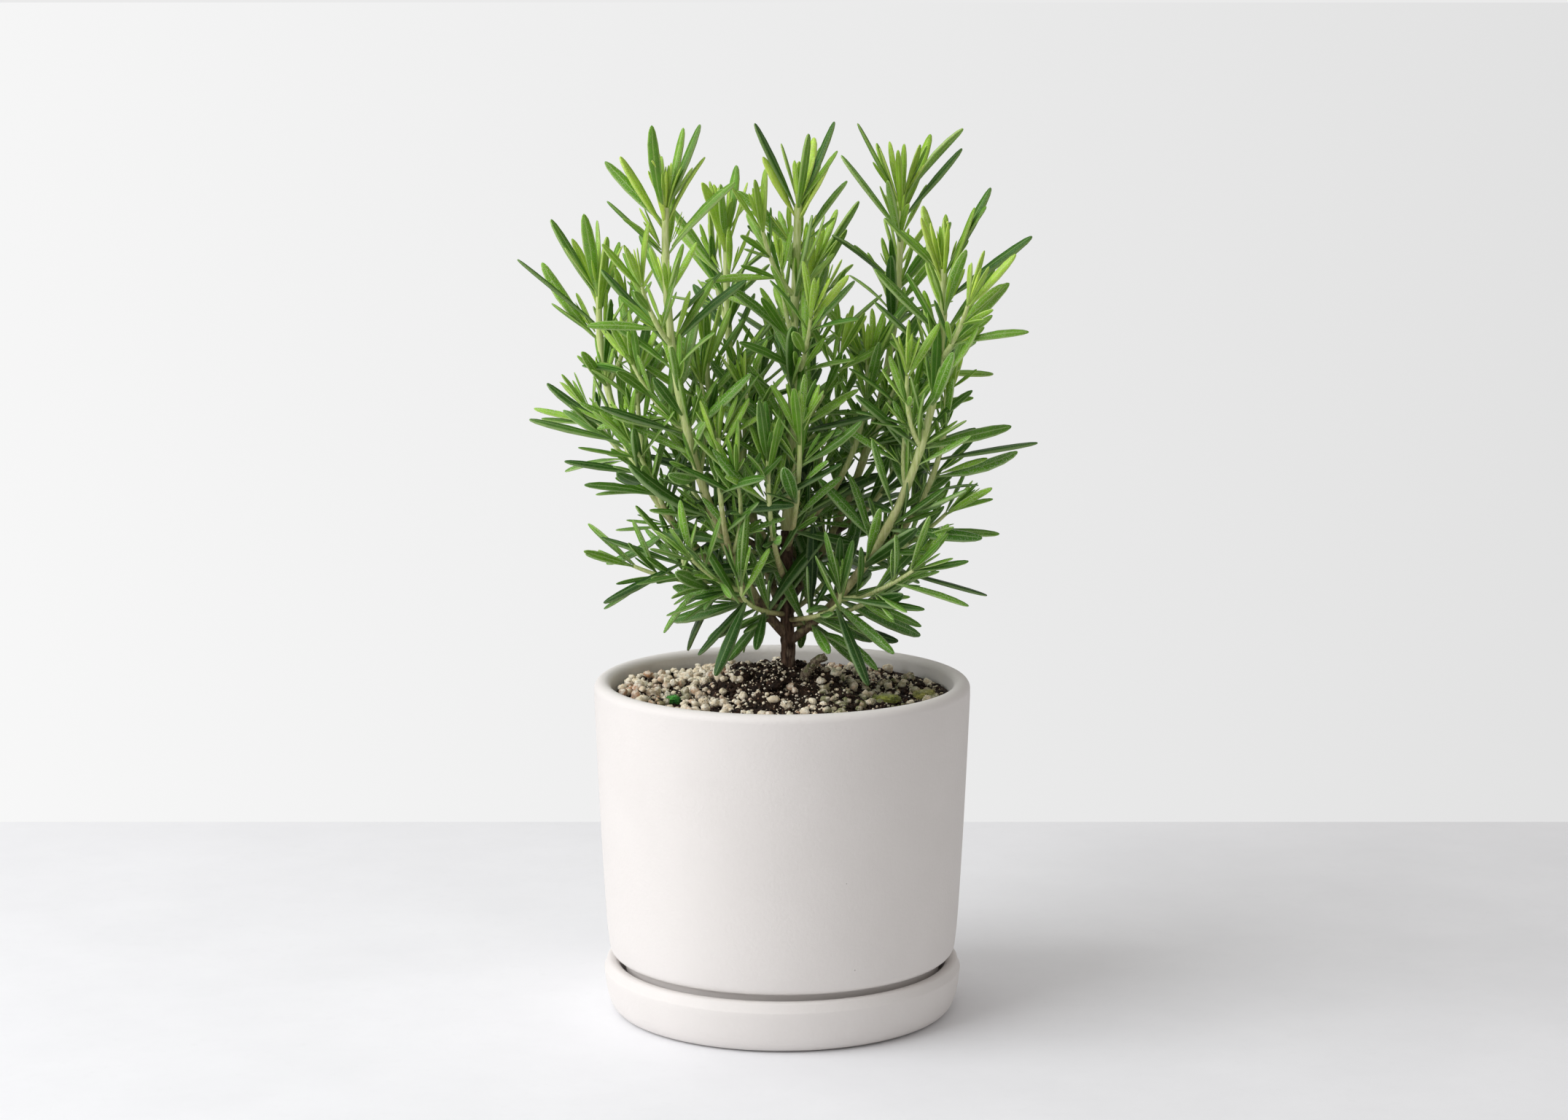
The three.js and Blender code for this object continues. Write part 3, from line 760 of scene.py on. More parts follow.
SHOOTS = [
    # name, parent, height, bearing, reach, top, radius, bare, leaf length
    # The leader follows its own route, laid above with the trunk's.
    ("leader", None, None, None, None, None, 2.0, 2, 31),
    ("left_front_branch", "trunk", 131, 208, 46, 280, 1.75, 22, 31),
    ("right_front_branch", "trunk", 129, 345, 54, 259, 1.7, 24, 31),
    ("far_left_branch", "trunk", 138, 178, 64, 250, 1.6, 24, 30),
    ("back_right_branch", "trunk", 143, 38, 50, 281, 1.6, 26, 30),
    ("back_left_branch", "trunk", 136, 122, 40, 268, 1.6, 26, 29),
    ("back_branch", "trunk", 148, 80, 47, 254, 1.5, 28, 29),
    ("right_outer_shoot", "right_front_branch", 158, 12, 28, 217, 1.2, 8, 26),
    ("left_outer_shoot", "far_left_branch", 164, 196, 18, 221, 1.1, 8, 25),
    ("front_left_shoot", "left_front_branch", 160, 250, 13, 203, 1.1, 8, 24),
    ("back_left_low_shoot", "back_left_branch", 160, 165, 30, 200, 1.1, 8, 26),
    ("back_right_low_shoot", "back_right_branch", 165, 15, 26, 206, 1.1, 8, 26),
    ("front_right_shoot", "trunk", 161, 282, 21, 207, 1.1, 12, 24),
    ("inner_right_shoot", "trunk", 165, 22, 30, 226, 1.2, 10, 26),
    ("inner_left_shoot", "trunk", 158, 160, 29, 230, 1.2, 10, 26),
    ("front_shoot", "trunk", 150, 255, 24, 196, 1.1, 10, 26),
    ("back_low_shoot", "trunk", 145, 100, 40, 186, 1.1, 12, 26),
    ("low_left_shoot", "trunk", 141, 190, 36, 160, 1.1, 14, 27),
    ("low_right_shoot", "trunk", 135, 352, 38, 158, 1.1, 16, 27),
    ("low_front_left_shoot", "trunk", 139, 236, 28, 153, 1, 12, 25),
    ("low_front_right_shoot", "trunk", 137, 312, 27, 150, 1, 12, 25),
    ("low_back_shoot", "trunk", 139, 60, 34, 156, 1, 14, 25),
]
NODE_SPACING = 15.5


def pair_shares(route, bare):
    """Where the pairs of leaves stand along a shoot, as shares of its length."""
    pairs = max(2, round((route.length - bare) / NODE_SPACING) + 1)
    start = bare / route.length
    return [min(start + (1 - start) * i / (pairs - 1), 0.99) for i in range(pairs)]


def out_of_stem(along, turn):
    """The direction square to a stem at an angle round it."""
    out = along.cross(Vector((0, 1, 0.2))).normalized()
    out.rotate(Matrix.Rotation(math.radians(turn), 3, along))
    return out


def lean_out(along, out, degrees):
    """The direction that leans away from a stem by an angle, towards out."""
    return along * math.cos(math.radians(degrees)) + out * math.sin(math.radians(degrees))


def sprig_route(route, share, turn, length):
    """A short side shoot that leaves its parent at a slant and straightens up."""
    along = route.along(share)
    out = out_of_stem(along, turn)
    start = route.at(share)
    knee = start + lean_out(along, out, 52) * length * 0.45
    end = knee + lean_out(along, out, 16) * length * 0.6
    steps = np.linspace(0, 1, 24)
    return Route([start * (1 - t) ** 2 + knee * 2 * t * (1 - t) + end * t * t for t in steps])


def young_stem(name):
    """Tan wood low down, going over to smooth yellow-green with paler ridges on this year's growth."""
    material, tree, surface, place = start_material(name, 0.6, 0.4)
    age = attribute(tree, "young")
    streaks = shader(tree, "Mapping", {"Vector": place, "Scale": (1, 1, 0.12)}).outputs[0]
    streak = between(tree, noise(tree, streaks, 0.6, 3), 0.35, 0.65)
    wood = blend(tree, streak, (0.07, 0.042, 0.027), (0.2, 0.135, 0.085))
    tan = blend(tree, streak, (0.46, 0.42, 0.18), (0.62, 0.58, 0.3))
    green = blend(tree, streak, (0.52, 0.62, 0.2), (0.74, 0.79, 0.4))
    uneven = between(tree, noise(tree, place, 3), 0.3, 0.7, -0.08, 0.08)
    ragged = maths(tree, "ADD", age, uneven)
    lower = blend(tree, between(tree, ragged, 0.05, 0.22), wood, tan)
    whole = blend(tree, between(tree, ragged, 0.25, 0.55), lower, green)
    tree.links.new(whole, surface.inputs["Base Color"])
    relief(tree, surface, (streak, 0.18, 0.5))
    return material


SPRIGS = {
    # shoot: the pair of leaves, the turn round the stem and the length of each
    "leader": ((1, 20, 34), (2, 200, 32), (3, 110, 30), (4, 290, 28), (5, 30, 26)),
    "left_front_branch": ((0, 60, 32), (1, 150, 34), (3, 240, 32), (4, 330, 30), (6, 60, 26)),
    "right_front_branch": ((0, 120, 34), (1, 210, 34), (3, 300, 30), (4, 30, 28), (6, 120, 24)),
    "far_left_branch": ((0, 30, 34), (2, 120, 32), (3, 300, 30), (5, 210, 26)),
    "back_right_branch": ((0, 0, 34), (2, 90, 32), (3, 180, 30), (5, 270, 28)),
    "back_left_branch": ((0, 20, 34), (2, 110, 32), (3, 200, 30), (5, 290, 26)),
    "back_branch": ((0, 70, 32), (2, 160, 32), (4, 250, 28)),
}
LEADER_TIP = 1.25
TIP_TAPER = 0.68
SWELLING = 0.16
SPRIG_AGE = 0.72
stem_finish = young_stem("young stem")
sprigs = {}
for name, parent, height, bearing, reach, top_height, base_radius, bare, _ in SHOOTS:
    tip_radius = base_radius * TIP_TAPER if parent else LEADER_TIP
    if parent:
        start = routes[parent].at(routes[parent].share_at_height(height))
        routes[name] = shoot_route(start, bearing, reach, top_height)
    route = routes[name]
    knots = np.array(pair_shares(route, bare)) * route.length

    def radius_at(share):
        """Tapers to the tip, a little swollen at each pair of leaves."""
        from_knot = np.min(np.abs(knots - share * route.length))
        swell = 1 + SWELLING * math.exp(-((from_knot / 1.6) ** 2))
        return (base_radius + (tip_radius - base_radius) * share**0.8) * swell

    sprigs[name] = [
        sprig_route(route, knots[pair] / route.length, turn, length)
        for pair, turn, length in SPRIGS.get(name, ())
    ]
    parts = [grow_stem(name + "_stem", route, radius_at, max(20, int(route.length / 2.2)))]
    for sprig in sprigs[name]:
        parts.append(grow_stem("sprig", sprig, lambda share: 0.95 - 0.3 * share, 10, 8))
    shares = np.linspace(0, 1, 60)
    spots = np.array([tuple(route.at(s) * MM) for s in shares])
    for part in parts:
        if part is parts[0]:
            ends = np.array([tuple(v.co) for v in part.data.vertices])
            ages = shares[np.argmin(((ends[:, None] - spots[None]) ** 2).sum(2), axis=1)]
            ages = 0.35 + 0.65 * ages if name == "leader" else ages
        else:
            ages = SPRIG_AGE
        tint(part, "young", ages)
    settle(join_pieces(name + "_stem", parts), stem_finish, "foliage", name)


# ---- Leaves ----
# Each leaf is a narrow leathery blade. Its top is dark, pebbled and grooved, its edges roll under, and
# the underside is pale felt with a raised midrib. They stand in pairs, each pair a quarter turn round
# from the last, with a brush of shorter, brighter leaves in every corner and a taller one at each tip.
LEAF_WIDTH_SHARE = 0.14
LEAF_TWISTS = (-70, -35, 0, 35, 70)
LEAF_BENDS = (-20, 2, 22, 44)


def straight_leaf(name):
    """A blade of unit length up the Z axis, top towards +Y: a shaped ring, extruded and scaled in steps."""
    half = LEAF_WIDTH_SHARE / 2
    deselect()
    bpy.ops.mesh.primitive_circle_add(vertices=9, radius=half, location=(0, 0, 0))
    leaf = bpy.context.object
    leaf.name = name
    bpy.ops.object.mode_set(mode="EDIT")
    bpy.ops.mesh.select_all(action="SELECT")
    bpy.ops.transform.resize(value=(1, 0.3, 1), center_override=(0, 0, 0))

    def groove_or_margin(place):
        """True along the middle and along the edges of the top."""
        return place.y > 0 and (abs(place.x) < 0.05 * half or abs(place.x) > 0.9 * half)

    vertices_where(leaf, groove_or_margin)
    bpy.ops.transform.translate(value=(0, -0.14 * half, 0))
    vertices_where(leaf, lambda place: place.y < -0.2 * half)
    bpy.ops.transform.resize(value=(0.42, 1, 1), center_override=(0, 0, 0))
    vertices_where(leaf, lambda place: place.y < -0.1 * half and abs(place.x) > 0.6 * half)
    bpy.ops.transform.translate(value=(0, -0.1 * half, 0))
    bpy.ops.mesh.select_all(action="SELECT")
    bpy.ops.transform.resize(value=(0.22, 0.5, 1), center_override=(0, 0, 0))
    width, at = 0.22, 0.0
    for reach, wider in ((0.13, 0.44), (0.36, 0.84), (0.6, 1.0), (0.8, 0.88), (0.93, 0.6), (0.985, 0.3)):
        bpy.ops.mesh.extrude_region_move(TRANSFORM_OT_translate={"value": (0, 0, reach - at)})
        thicker = (wider / width) ** 0.6
        bpy.ops.transform.resize(value=(wider / width, thicker, 1), center_override=(0, 0, reach))
        width, at = wider, reach
    bpy.ops.mesh.extrude_region_move(TRANSFORM_OT_translate={"value": (0, 0, 1 - at)})
    bpy.ops.transform.resize(value=(0.3, 0.5, 1), center_override=(0, 0, 1))
    bpy.ops.mesh.edge_face_add()
    vertices_where(leaf, lambda place: place.z < 0.001)
    bpy.ops.mesh.edge_face_add()
    bpy.ops.mesh.select_all(action="SELECT")
    bpy.ops.mesh.normals_make_consistent(inside=False)
    bpy.ops.object.mode_set(mode="OBJECT")
    bpy.ops.object.shade_smooth()
    widths = {}
    for vertex in leaf.data.vertices:
        row = round(vertex.co.z, 3)
        widths[row] = max(widths.get(row, 0), abs(vertex.co.x))
    across = leaf.data.uv_layers.new(name="leaf")
    for loop in leaf.data.loops:
        place = leaf.data.vertices[loop.vertex_index].co
        across.data[loop.index].uv = (0.5 + place.x / widths[round(place.z, 3)] / 2, place.z)
    for face in leaf.data.polygons:
        face.material_index = 0 if face.normal.y > -0.6 else 1
    return leaf


def twisted_leaf(straight, twist, bend):
    """The blade turned about its length near its base, then arched away from its top."""
    leaf = place_copy(straight, Matrix())
    bpy.context.view_layer.objects.active = leaf
    for kind, axis, angle, reach in (("TWIST", "Z", twist, 0.45), ("BEND", "X", -bend, 1)):
        modifier = leaf.modifiers.new(kind.lower(), "SIMPLE_DEFORM")
        modifier.deform_method = kind
        modifier.deform_axis = axis
        modifier.angle = math.radians(angle)
        modifier.limits = (0, reach)
        bpy.ops.object.modifier_apply(modifier=modifier.name)
    return leaf


blade = straight_leaf("blade")
leaf_models = {
    (twist, bend): twisted_leaf(blade, twist, bend)
    for twist in LEAF_TWISTS
    for bend in LEAF_BENDS
}


def leaf_upper(name):
    """Pebbled, waxy top: dark on old leaves, yellow-green on young ones, with painted glints on the
    pebbles, and pale lines along the middle and the edges that are partly the leaf's own colour and partly
    painted highlight.
    """
    material, tree, surface, place = start_material(name, 0.38, 0.34)
    young = attribute(tree, "young")
    luck = attribute(tree, "luck")
    dry = attribute(tree, "dry")
    surface.inputs["Subsurface Weight"].default_value = 0.12
    surface.inputs["Subsurface Radius"].default_value = (0.5, 1.0, 0.12)
    surface.inputs["Subsurface Scale"].default_value = 1.2 * MM
    across = shader(tree, "SeparateXYZ", {0: shader(tree, "UVMap", uv_map="leaf").outputs[0]})
    old_green = blend(tree, luck, (0.005, 0.042, 0.0008), (0.1, 0.3, 0.018))
    mid_green = blend(tree, luck, (0.055, 0.21, 0.003), (0.34, 0.62, 0.045))
    new_green = blend(tree, luck, (0.38, 0.62, 0.04), (0.66, 0.85, 0.11))
    green = blend(tree, between(tree, young, 0.0, 0.5), old_green, mid_green)
    green = blend(tree, between(tree, young, 0.5, 1.0), green, new_green)
    patches = between(tree, noise(tree, place, 6, 3), 0.3, 0.7, 0.8, 1.16)
    grey = shader(tree, "CombineColor", {0: patches, 1: patches, 2: patches}).outputs[0]
    green = blend(tree, 1.0, green, grey, "MULTIPLY")
    beads = cell_pattern(tree, place, 0.52).outputs["Distance"]
    bead = between(tree, beads, 0.14, 0.42, 1, 0)
    # Painted highlight: pale glints on the pebbles, brighter on some leaves than others.
    painted_glint = between(tree, noise(tree, place, 2.4, 2), 0.35, 0.65, 0.3, 0.7)
    painted_glint = maths(tree, "MULTIPLY", bead, painted_glint)
    painted_glint = maths(tree, "MULTIPLY", painted_glint, between(tree, luck, 0.3, 0.95, 0.2, 1.7))
    green = blend(tree, painted_glint, green, blend(tree, young, (0.6, 0.74, 0.48), (0.75, 0.9, 0.36)))
    # Pale lines along the middle and the rolled edges: partly the leaf's own colour, partly painted
    # highlight.
    from_groove = maths(tree, "SUBTRACT", across.outputs[0], 0.5)
    from_groove = maths(tree, "ABSOLUTE", from_groove)
    groove_and_sheen = between(tree, from_groove, 0.02, 0.07, 0.6, 0)
    margin_and_sheen = between(tree, from_groove, 0.36, 0.45, 0, 0.8)
    line = maths(tree, "MAXIMUM", groove_and_sheen, margin_and_sheen)
    root = between(tree, across.outputs[1], 0.0, 0.22, 0.8, 0)
    line = maths(tree, "MAXIMUM", line, root)
    line = maths(tree, "MULTIPLY", line, between(tree, luck, 0, 0.7, 0.4, 1))
    green = blend(tree, line, green, blend(tree, young, (0.42, 0.57, 0.26), (0.68, 0.82, 0.2)))
    tree.links.new(blend(tree, dry, green, (0.5, 0.31, 0.07)), surface.inputs["Base Color"])
    tree.links.new(between(tree, bead, 0, 1, 0.4, 0.24), surface.inputs["Roughness"])
    relief(tree, surface, (bead, 0.16, 0.75))
    return material


def leaf_underside(name):
    """Grey-green felt with a raised, paler midrib, painted shade in the hollows beside it, and the smooth
    rolled edges of the blade.
    """
    material, tree, surface, place = start_material(name, 0.8, 0.15)
    young = attribute(tree, "young")
    dry = attribute(tree, "dry")
    across = shader(tree, "SeparateXYZ", {0: shader(tree, "UVMap", uv_map="leaf").outputs[0]})
    luck = attribute(tree, "luck")
    old_felt = blend(tree, luck, (0.09, 0.17, 0.03), (0.45, 0.54, 0.28))
    felt = blend(tree, young, old_felt, (0.42, 0.54, 0.14))
    fibres = between(tree, noise(tree, place, 0.4, 3), 0.35, 0.65, 0, 0.4)
    felt = blend(tree, fibres, felt, blend(tree, luck, (0.18, 0.27, 0.09), (0.5, 0.57, 0.37)))
    from_rib = maths(tree, "SUBTRACT", across.outputs[0], 0.5)
    from_rib = maths(tree, "ABSOLUTE", from_rib)
    rib = between(tree, from_rib, 0.05, 0.12, 0.85, 0)
    edge = between(tree, from_rib, 0.34, 0.44, 0, 0.8)
    # Painted shade: the felt is darkened in the hollows either side of the midrib.
    painted_hollow_shade = between(tree, from_rib, 0.08, 0.2, 0.3, 0)
    felt = blend(tree, painted_hollow_shade, felt, (0.1, 0.16, 0.05))
    felt = blend(tree, rib, felt, blend(tree, luck, (0.25, 0.36, 0.12), (0.52, 0.6, 0.33)))
    felt = blend(tree, edge, felt, blend(tree, young, (0.1, 0.22, 0.05), (0.34, 0.53, 0.09)))
    tree.links.new(blend(tree, dry, felt, (0.5, 0.33, 0.11)), surface.inputs["Base Color"])
    surface.inputs["Sheen Weight"].default_value = 0.08
    relief(tree, surface, (rib, 0.2, 0.6), (noise(tree, place, 0.35, 3), 0.08, 0.5))
    return material


leaf_finishes = [leaf_upper("leaf top"), leaf_underside("leaf underside")]
LIGHT_SIDE = Vector((-0.35, -0.5, 0.45))
BOX_MARGIN = 0.4 * MM
# The vertices half-way along a leaf and at its tip that are tried against the part's box.
LEAF_OUTERMOST = (28, 30, 33, 57, 63, 67)
LOW_DOWN = 185


def nearest(choices, value):
    """The choice that is closest to the value."""
    return min(choices, key=lambda choice: abs(choice - value))


def square_to(way, direction):
    """The part of a direction that is square to a way."""
    return (direction - way * direction.dot(way)).normalized()


def grow_leaf(base, way, inward, length, bend, tints, wide=1.0, sway=0.0):
    """A copy of the leaf set at its base in mm. Its top starts towards the stem and twists to the light."""
    top = square_to(way, inward)
    outside = Vector((base.x, base.y, 0)) * 0.016 + LIGHT_SIDE
    target = square_to(way, outside)
    turn = math.atan2(way.dot(top.cross(target)), top.dot(target))
    twist = 75 * math.sin(turn) * (0.25 + 0.75 * tints[1]) + sway
    modelled = nearest(LEAF_TWISTS, twist)
    model = leaf_models[modelled, nearest(LEAF_BENDS, bend)]
    top.rotate(Matrix.Rotation(math.radians(max(-25, min(25, twist - modelled))), 3, way))
    # A leaf that would reach out of the part's box is shortened until it fits.
    for _ in range(8):
        axes = Matrix((top.cross(way) * wide, top * (0.55 + 0.45 * wide), way)).transposed().to_4x4()
        matrix = Matrix.Translation(base * MM) @ axes @ Matrix.Scale(length * MM, 4)
        ends = [matrix @ model.data.vertices[i].co for i in LEAF_OUTERMOST]
        inside = all(
            cad_low[k] + BOX_MARGIN < end[k] < cad_high[k] - BOX_MARGIN for end in ends for k in range(3)
        )
        if inside:
            break
        length *= 0.93
    young, luck, dry = tints
    young *= 0.25 + 0.75 * min(max((base.z - 140) / 110, 0), 1)
    return place_copy(model, matrix, {"young": min(max(young, 0), 1), "luck": luck, "dry": dry})


def pair_leaf(route, share, turn, tilt, bend, length, stem_radius, tints, **more):
    """A leaf on the side of a stem, at an angle round it and a tilt away from it."""
    along = route.along(share)
    out = out_of_stem(along, turn)
    base = route.at(share) + out * stem_radius * 0.7
    return grow_leaf(base, lean_out(along, out, tilt - bend / 2), along, length, bend, tints, **more)


def brush(base, axis, count, length, spread, rise, young, chance):
    """Leaves set spirally round a short axis: the inner ones are short, upright and the youngest."""
    made = []
    start = chance(0, 360)
    for k in range(count):
        share = k / (count - 1)
        out = out_of_stem(axis, start + 137.5 * k + chance(-15, 15))
        tilt = 4 + (spread - 4) * share**1.2 + chance(-4, 5)
        bend = chance(-8, 20) * (0.4 + 0.6 * share)
        place = base + axis * rise * (1 - share) + out * 0.4
        tints = (young + 0.22 * (1 - share) + chance(-0.1, 0.12), chance(), 0.0)
        reach = length * (0.42 + 0.58 * share**1.2) * chance(0.86, 1.08)
        way = lean_out(axis, out, tilt - bend / 2)
        wide = (0.68 + 0.34 * share) * chance(0.88, 1.15)
        made.append(grow_leaf(place, way, axis, reach, bend, tints, wide, chance(-25, 25)))
    return made


LONG_LEAVES = [
    # shoot, height, bearing, rise, length
    ("far_left_branch", 238, 184, 36, 36),
    ("far_left_branch", 198, 180, 10, 34),
    ("left_outer_shoot", 188, 192, 6, 30),
    ("low_left_shoot", 158, 198, -28, 31),
    ("low_left_shoot", 157, 176, 14, 30),
    ("left_front_branch", 147, 218, -42, 30),
    ("low_front_left_shoot", 147, 240, -52, 30),
    ("low_front_left_shoot", 142, 262, -30, 22),
    ("left_front_branch", 139, 250, -8, 24),
    ("right_front_branch", 248, 350, 33, 37),
    ("right_outer_shoot", 193, 356, 6, 37),
    ("low_right_shoot", 155, 350, -18, 32),
    ("right_front_branch", 144, 320, -34, 30),
    ("low_front_right_shoot", 145, 304, -56, 31),
    ("low_front_right_shoot", 141, 278, 6, 24),
    ("right_front_branch", 136, 285, -20, 23),
    ("low_front_right_shoot", 148, 340, -8, 30),
    ("left_front_branch", 278, 12, 64, 34),
    ("left_front_branch", 274, 160, 40, 30),
    ("far_left_branch", 247, 172, 55, 32),
    ("right_front_branch", 256, 10, 58, 34),
    ("right_front_branch", 236, 200, 40, 34),
    ("leader", 277, 0, 64, 33),
    ("leader", 277, 186, 60, 36),
    ("back_right_branch", 272, 0, 46, 33),
    ("back_right_branch", 268, 172, 48, 34),
    ("back_branch", 214, 88, 20, 32),
    ("back_left_branch", 232, 118, 26, 32),
    ("back_low_shoot", 180, 96, -4, 30),
    ("low_back_shoot", 154, 62, -24, 28),
]
for order, (name, *_, bare, leaf_length) in enumerate(SHOOTS):
    route = routes[name]
    small = route.length < 100
    first = Chance(101 + 17 * order)
    more = Chance(5000 + 31 * order)
    radius = 1.2 if small else 1.6
    leaves = []
    for shoot, height, bearing, rise, length in LONG_LEAVES:
        if shoot == name:
            base = route.at(route.share_at_height(height))
            tints = (0.22, more(), 0.0)
            way = heading(bearing, rise + 5)
            wide = 1.12 if rise < -40 else 1.25 if height < 143 else 0.9
            leaves.append(grow_leaf(base, way, Vector((0, 0, 1)), length, 10, tints, wide, more(-20, 20)))
    shares = pair_shares(route, bare)
    for pair, share in enumerate(shares):
        height = pair / (len(shares) - 1)
        for half in (0, 180):
            turn = pair * 90 + half + first(-22, 22)
            tilt = 80 - 46 * height**0.8 + first(-12, 12)
            bend = first(-9, 12) * 2
            length = leaf_length * first(0.8, 1.12) * (1 - 0.1 * height)
            if half:
                # The second leaf of a pair has three draws more, which keeps it in step with the part.
                first(), first(), first()
            dry = 0.8 if more() < 0.006 else 0.0
            low_down = route.at(share).z < LOW_DOWN
            if low_down:
                turn, tilt, length = turn + more(-24, 24), tilt + more(-24, 20), length * more(0.88, 1.2)
                if more() < 0.16:
                    continue
            tints = (0.02 + 0.4 * height**2 + more(-0.08, 0.12), more(), dry)
            fuller = 1.3 - 0.38 * height
            longer = length * (1.16 - 0.08 * height)
            leaves.append(pair_leaf(route, share, turn, tilt, bend, longer, radius, tints,
                                    wide=more(0.88, 1.12) * fuller, sway=more(-20, 20)))
            along = route.along(share)
            out = out_of_stem(along, turn)
            axis = lean_out(along, out, 40 - 16 * height + more(-6, 6))
            corner = route.at(min(share + 0.01, 1)) + out * radius * 0.8
            count = 3 if low_down else 4
            shorter = length * more(0.64, 0.9)
            leaves += brush(corner, axis, count, shorter, 25, 3.5, 0.3 + 0.3 * height, more)
    for pair, (low_share, high_share) in enumerate(zip(shares, shares[1:])):
        if high_share > 0.9 and not small:
            continue
        share = low_share + (high_share - low_share) * more(0.4, 0.6)
        for half in (0, 180):
            if more() < (0.45 if route.at(share).z < LOW_DOWN else 0.25):
                continue
            tints = (0.1 + 0.35 * share + more(-0.08, 0.12), more(), 0.0)
            turn = pair * 90 + 45 + half + more(-25, 25)
            tilt = 72 - 38 * share**0.8 + more(-12, 12)
            bend, length = more(-10, 26), leaf_length * more(0.66, 0.95)
            leaves.append(pair_leaf(route, share, turn, tilt, bend, length, radius, tints,
                                    wide=more(0.8, 1.1), sway=more(-25, 25)))
    for sprig in sprigs[name]:
        for k, share in enumerate(np.arange(9, sprig.length - 3, 8.5) / sprig.length):
            along = sprig.along(share)
            for half in (0, 180):
                tints = (0.2 + 0.4 * share + more(-0.1, 0.1), more(), 0.0)
                turn = k * 90 + half + more(-20, 20)
                out = out_of_stem(along, turn)
                tilt, bend, length = more(42, 62), more(-6, 26), leaf_length * more(0.6, 0.86)
                leaves.append(pair_leaf(sprig, share, turn, tilt, bend, length, 0.8, tints,
                                        wide=more(0.75, 1.05), sway=more(-25, 25)))
                corner = sprig.at(share) + out * 0.7
                length = leaf_length * more(0.4, 0.62)
                leaves += brush(corner, lean_out(along, out, 30), 2, length, 20, 2, 0.5, more)
        leaves += brush(sprig.at(0.97), sprig.along(0.97), 8, leaf_length * 0.72, 30, 4, 0.66, more)
    tip = route.along(0.98)
    count, spread = (5, 40) if name.startswith("low") else (7, 31) if small else (9, 30)
    leaves += brush(route.at(0.99) - tip * 6, tip, count, leaf_length, spread, 8, 0.74, more)
    along_bare = np.arange(9, bare - 3, 10.5) / route.length if name != "leader" else []
    for k, share in enumerate(along_bare):
        for half in (0, 180):
            tints = (more(0, 0.25), more(), 0.0)
            turn = k * 90 + half + more(-25, 25)
            tilt, bend, length = more(62, 92), more(8, 44), leaf_length * more(0.7, 1.0)
            leaves.append(pair_leaf(route, share, turn, tilt, bend, length, radius, tints,
                                    wide=more(1.0, 1.3), sway=more(-25, 25)))
    blades = join_pieces(name + "_leaves", leaves)
    blades.data.materials.clear()
    for finish in leaf_finishes:
        blades.data.materials.append(finish)
    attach(blades, "root")
    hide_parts(name)
discard(blade, *leaf_models.values())


# ---- Dead stub ----
# The weathered end of an old shoot that leans out of the mix beside the trunk.
def grey_wood(name):
    """Weathered grey-brown wood, freckled with lichen and algae."""
    material, tree, surface, place = start_material(name, 0.9, 0.2)
    grain = between(tree, noise(tree, place, 1.0, 5), 0.36, 0.66)
    wood = blend(tree, grain, (0.07, 0.05, 0.035), (0.3, 0.24, 0.17))
    freckles = between(tree, noise(tree, place, 0.8, 2), 0.56, 0.66)
    wood = blend(tree, freckles, wood, (0.45, 0.42, 0.29))
    algae = between(tree, noise(tree, place, 2.6, 3), 0.5, 0.66, 0, 0.7)
    tree.links.new(blend(tree, algae, wood, (0.13, 0.16, 0.05)), surface.inputs["Base Color"])
    relief(tree, surface, (grain, 0.4, 0.8))
    return material


stub_route = smooth_route([(6.4, -8, 113), (8.2, -8.5, 119.5), (11.5, -9, 124), (15, -9.3, 126)])
stub = grow_stem("dead_stub", stub_route, lambda share: 1.4 + 1.1 * (1 - share) ** 2, 40, 20)
roughen(stub, None, ("CLOUDS", 2.0, 0.9), ("CLOUDS", 0.8, 0.5))
settle(stub, grey_wood("dead wood"), "dead_wood", "dead_stub")


# ---- Stage ----
# A pale table top, soft light from a window at the left, and the camera. A sheet that glows though it
# is no lamp lies behind the table's edge and under it, painted brighter at the left and darker to the
# right as if lit from the window, and the table fades into the sheet before its sides are seen.
TABLE_EDGE = 0.271
FAR = 1000
FADE_FROM, FADE_TO = 0.45, 0.8
EYE = (0.00063, -1.16906, 0.34765)
PAINTED_FALLOFF_WIDTH = 0.23


def stage_plane(name, height, near, far):
    """A level sheet from one distance behind the pot to another."""
    deselect()
    bpy.ops.mesh.primitive_plane_add(size=1, location=(0, 0, 0))
    sheet = bpy.context.object
    sheet.name = name
    bpy.ops.object.mode_set(mode="EDIT")
    bpy.ops.transform.resize(value=(2 * FAR, far - near, 1))
    bpy.ops.transform.translate(value=(0, (far + near) / 2, height))
    bpy.ops.object.mode_set(mode="OBJECT")
    return sheet


material, tree, surface, place = start_material("pale table", 0.75, 0.2)
worn = between(tree, noise(tree, place, 60, 6, 0.6), 0.3, 0.7)
scuffs = between(tree, noise(tree, place, 5, 6, 0.7), 0.55, 0.75, 0, 0.25)
table = blend(tree, worn, (0.86, 0.865, 0.885), (0.9, 0.905, 0.925))
tree.links.new(blend(tree, scuffs, table, (0.8, 0.805, 0.82)), surface.inputs["Base Color"])
distance = shader(tree, "VectorMath", {0: place}, operation="LENGTH").outputs["Value"]
faded = between(tree, distance, FADE_FROM, FADE_TO)
sheet_below = shader(tree, "BsdfTransparent").outputs[0]
table_top = shader(tree, "MixShader", {0: faded, 1: surface.outputs[0], 2: sheet_below})
tree.links.new(table_top.outputs[0], tree.nodes["Material Output"].inputs["Surface"])
stage_plane("floor", 0, -FAR, TABLE_EDGE).data.materials.append(material)
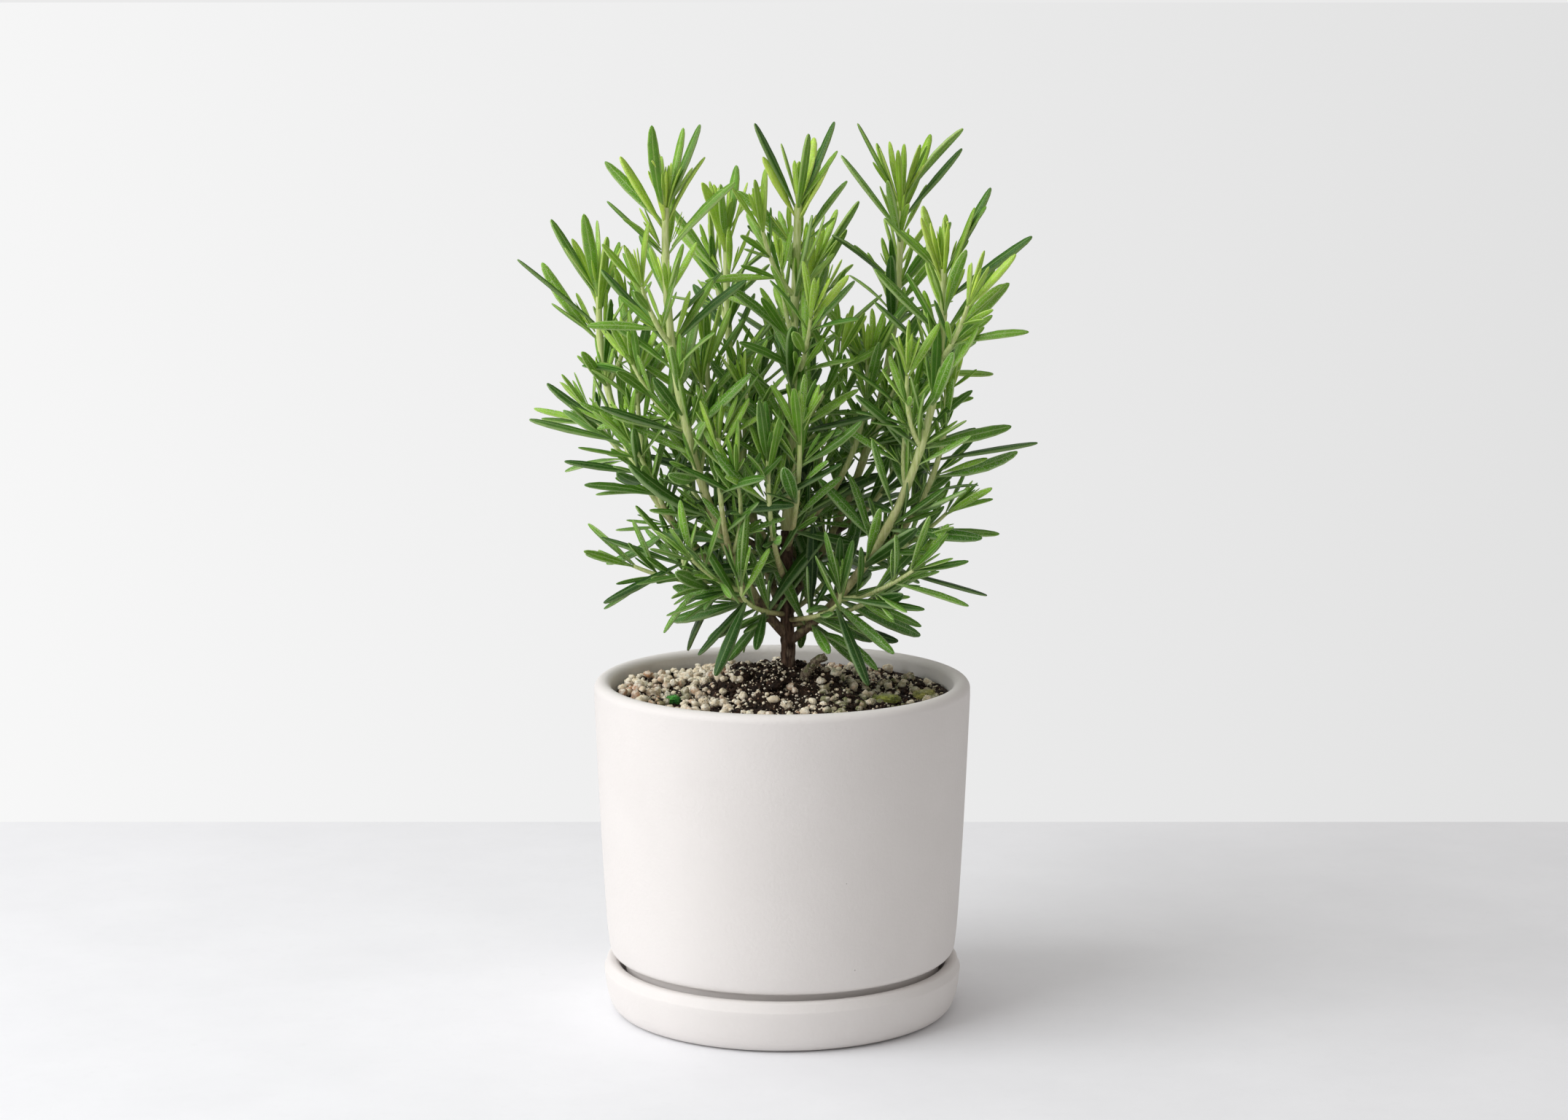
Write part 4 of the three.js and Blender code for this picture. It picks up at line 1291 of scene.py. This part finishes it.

# The sheet glows though it is no lamp, and its glow is painted light: brighter at the left and falling off
# to the right, as from the window.
material, tree, surface, place = start_material("white paper", 1.0, 0.0)
surface.inputs["Base Color"].default_value = (0.02, 0.02, 0.02, 1)
apart = shader(tree, "SeparateXYZ", {0: place})
depth = maths(tree, "ADD", apart.outputs[1], 1.17)
depth = maths(tree, "MAXIMUM", depth, 1.4)
aside = maths(tree, "DIVIDE", apart.outputs[0], depth)
surface.inputs["Emission Color"].default_value = (1, 1, 1, 1)
painted_falloff = between(tree, aside, -PAINTED_FALLOFF_WIDTH, PAINTED_FALLOFF_WIDTH, 0.915, 0.745)
tree.links.new(painted_falloff, surface.inputs["Emission Strength"])
paper = stage_plane("backdrop", -0.5 * MM, -FAR, FAR)
paper.data.materials.append(material)
paper.visible_diffuse = False
paper.visible_glossy = False

world = bpy.data.worlds.new("white room")
bpy.context.scene.world = world
world.use_nodes = True
tree = world.node_tree
room = tree.nodes["Background"]
room.inputs["Color"].default_value = (1, 0.97, 0.945, 1)
room.inputs["Strength"].default_value = 0.41
seen = shader(tree, "Background", {"Color": (1, 1, 1, 1), "Strength": 0.83})
straight = shader(tree, "LightPath").outputs["Is Camera Ray"]
both = shader(tree, "MixShader", {0: straight, 1: room.outputs[0], 2: seen.outputs[0]})
tree.links.new(both.outputs[0], tree.nodes["World Output"].inputs["Surface"])
bpy.context.scene.view_settings.view_transform = "Standard"


def window(name, place, size, watts, colour, towards=(0, 0, 0.14)):
    """A soft rectangular light that faces the middle of the plant."""
    lamp = bpy.data.lights.new(name, "AREA")
    lamp.shape = "RECTANGLE"
    lamp.size, lamp.size_y = size
    lamp.energy = watts
    lamp.color = colour
    holder = bpy.data.objects.new(name, lamp)
    holder.location = place
    holder.rotation_euler = (Vector(towards) - Vector(place)).to_track_quat("-Z", "Y").to_euler()
    bpy.context.scene.collection.objects.link(holder)


window("window", (-1.2, -0.6, 0.95), (1.4, 1.4), 21.5, (0.97, 0.985, 1))
window("skylight", (-0.5, 0.3, 2.0), (1.6, 1.6), 9.5, (1, 1, 1))

camera = bpy.data.cameras.new("camera")
camera.sensor_width = 36
camera.lens = 79
camera.clip_start = 0.05
eye = bpy.data.objects.new("camera", camera)
eye.location = EYE
eye.rotation_euler = (math.radians(90 - 9.22), 0, 0)
bpy.context.scene.collection.objects.link(eye)
bpy.context.scene.camera = eye
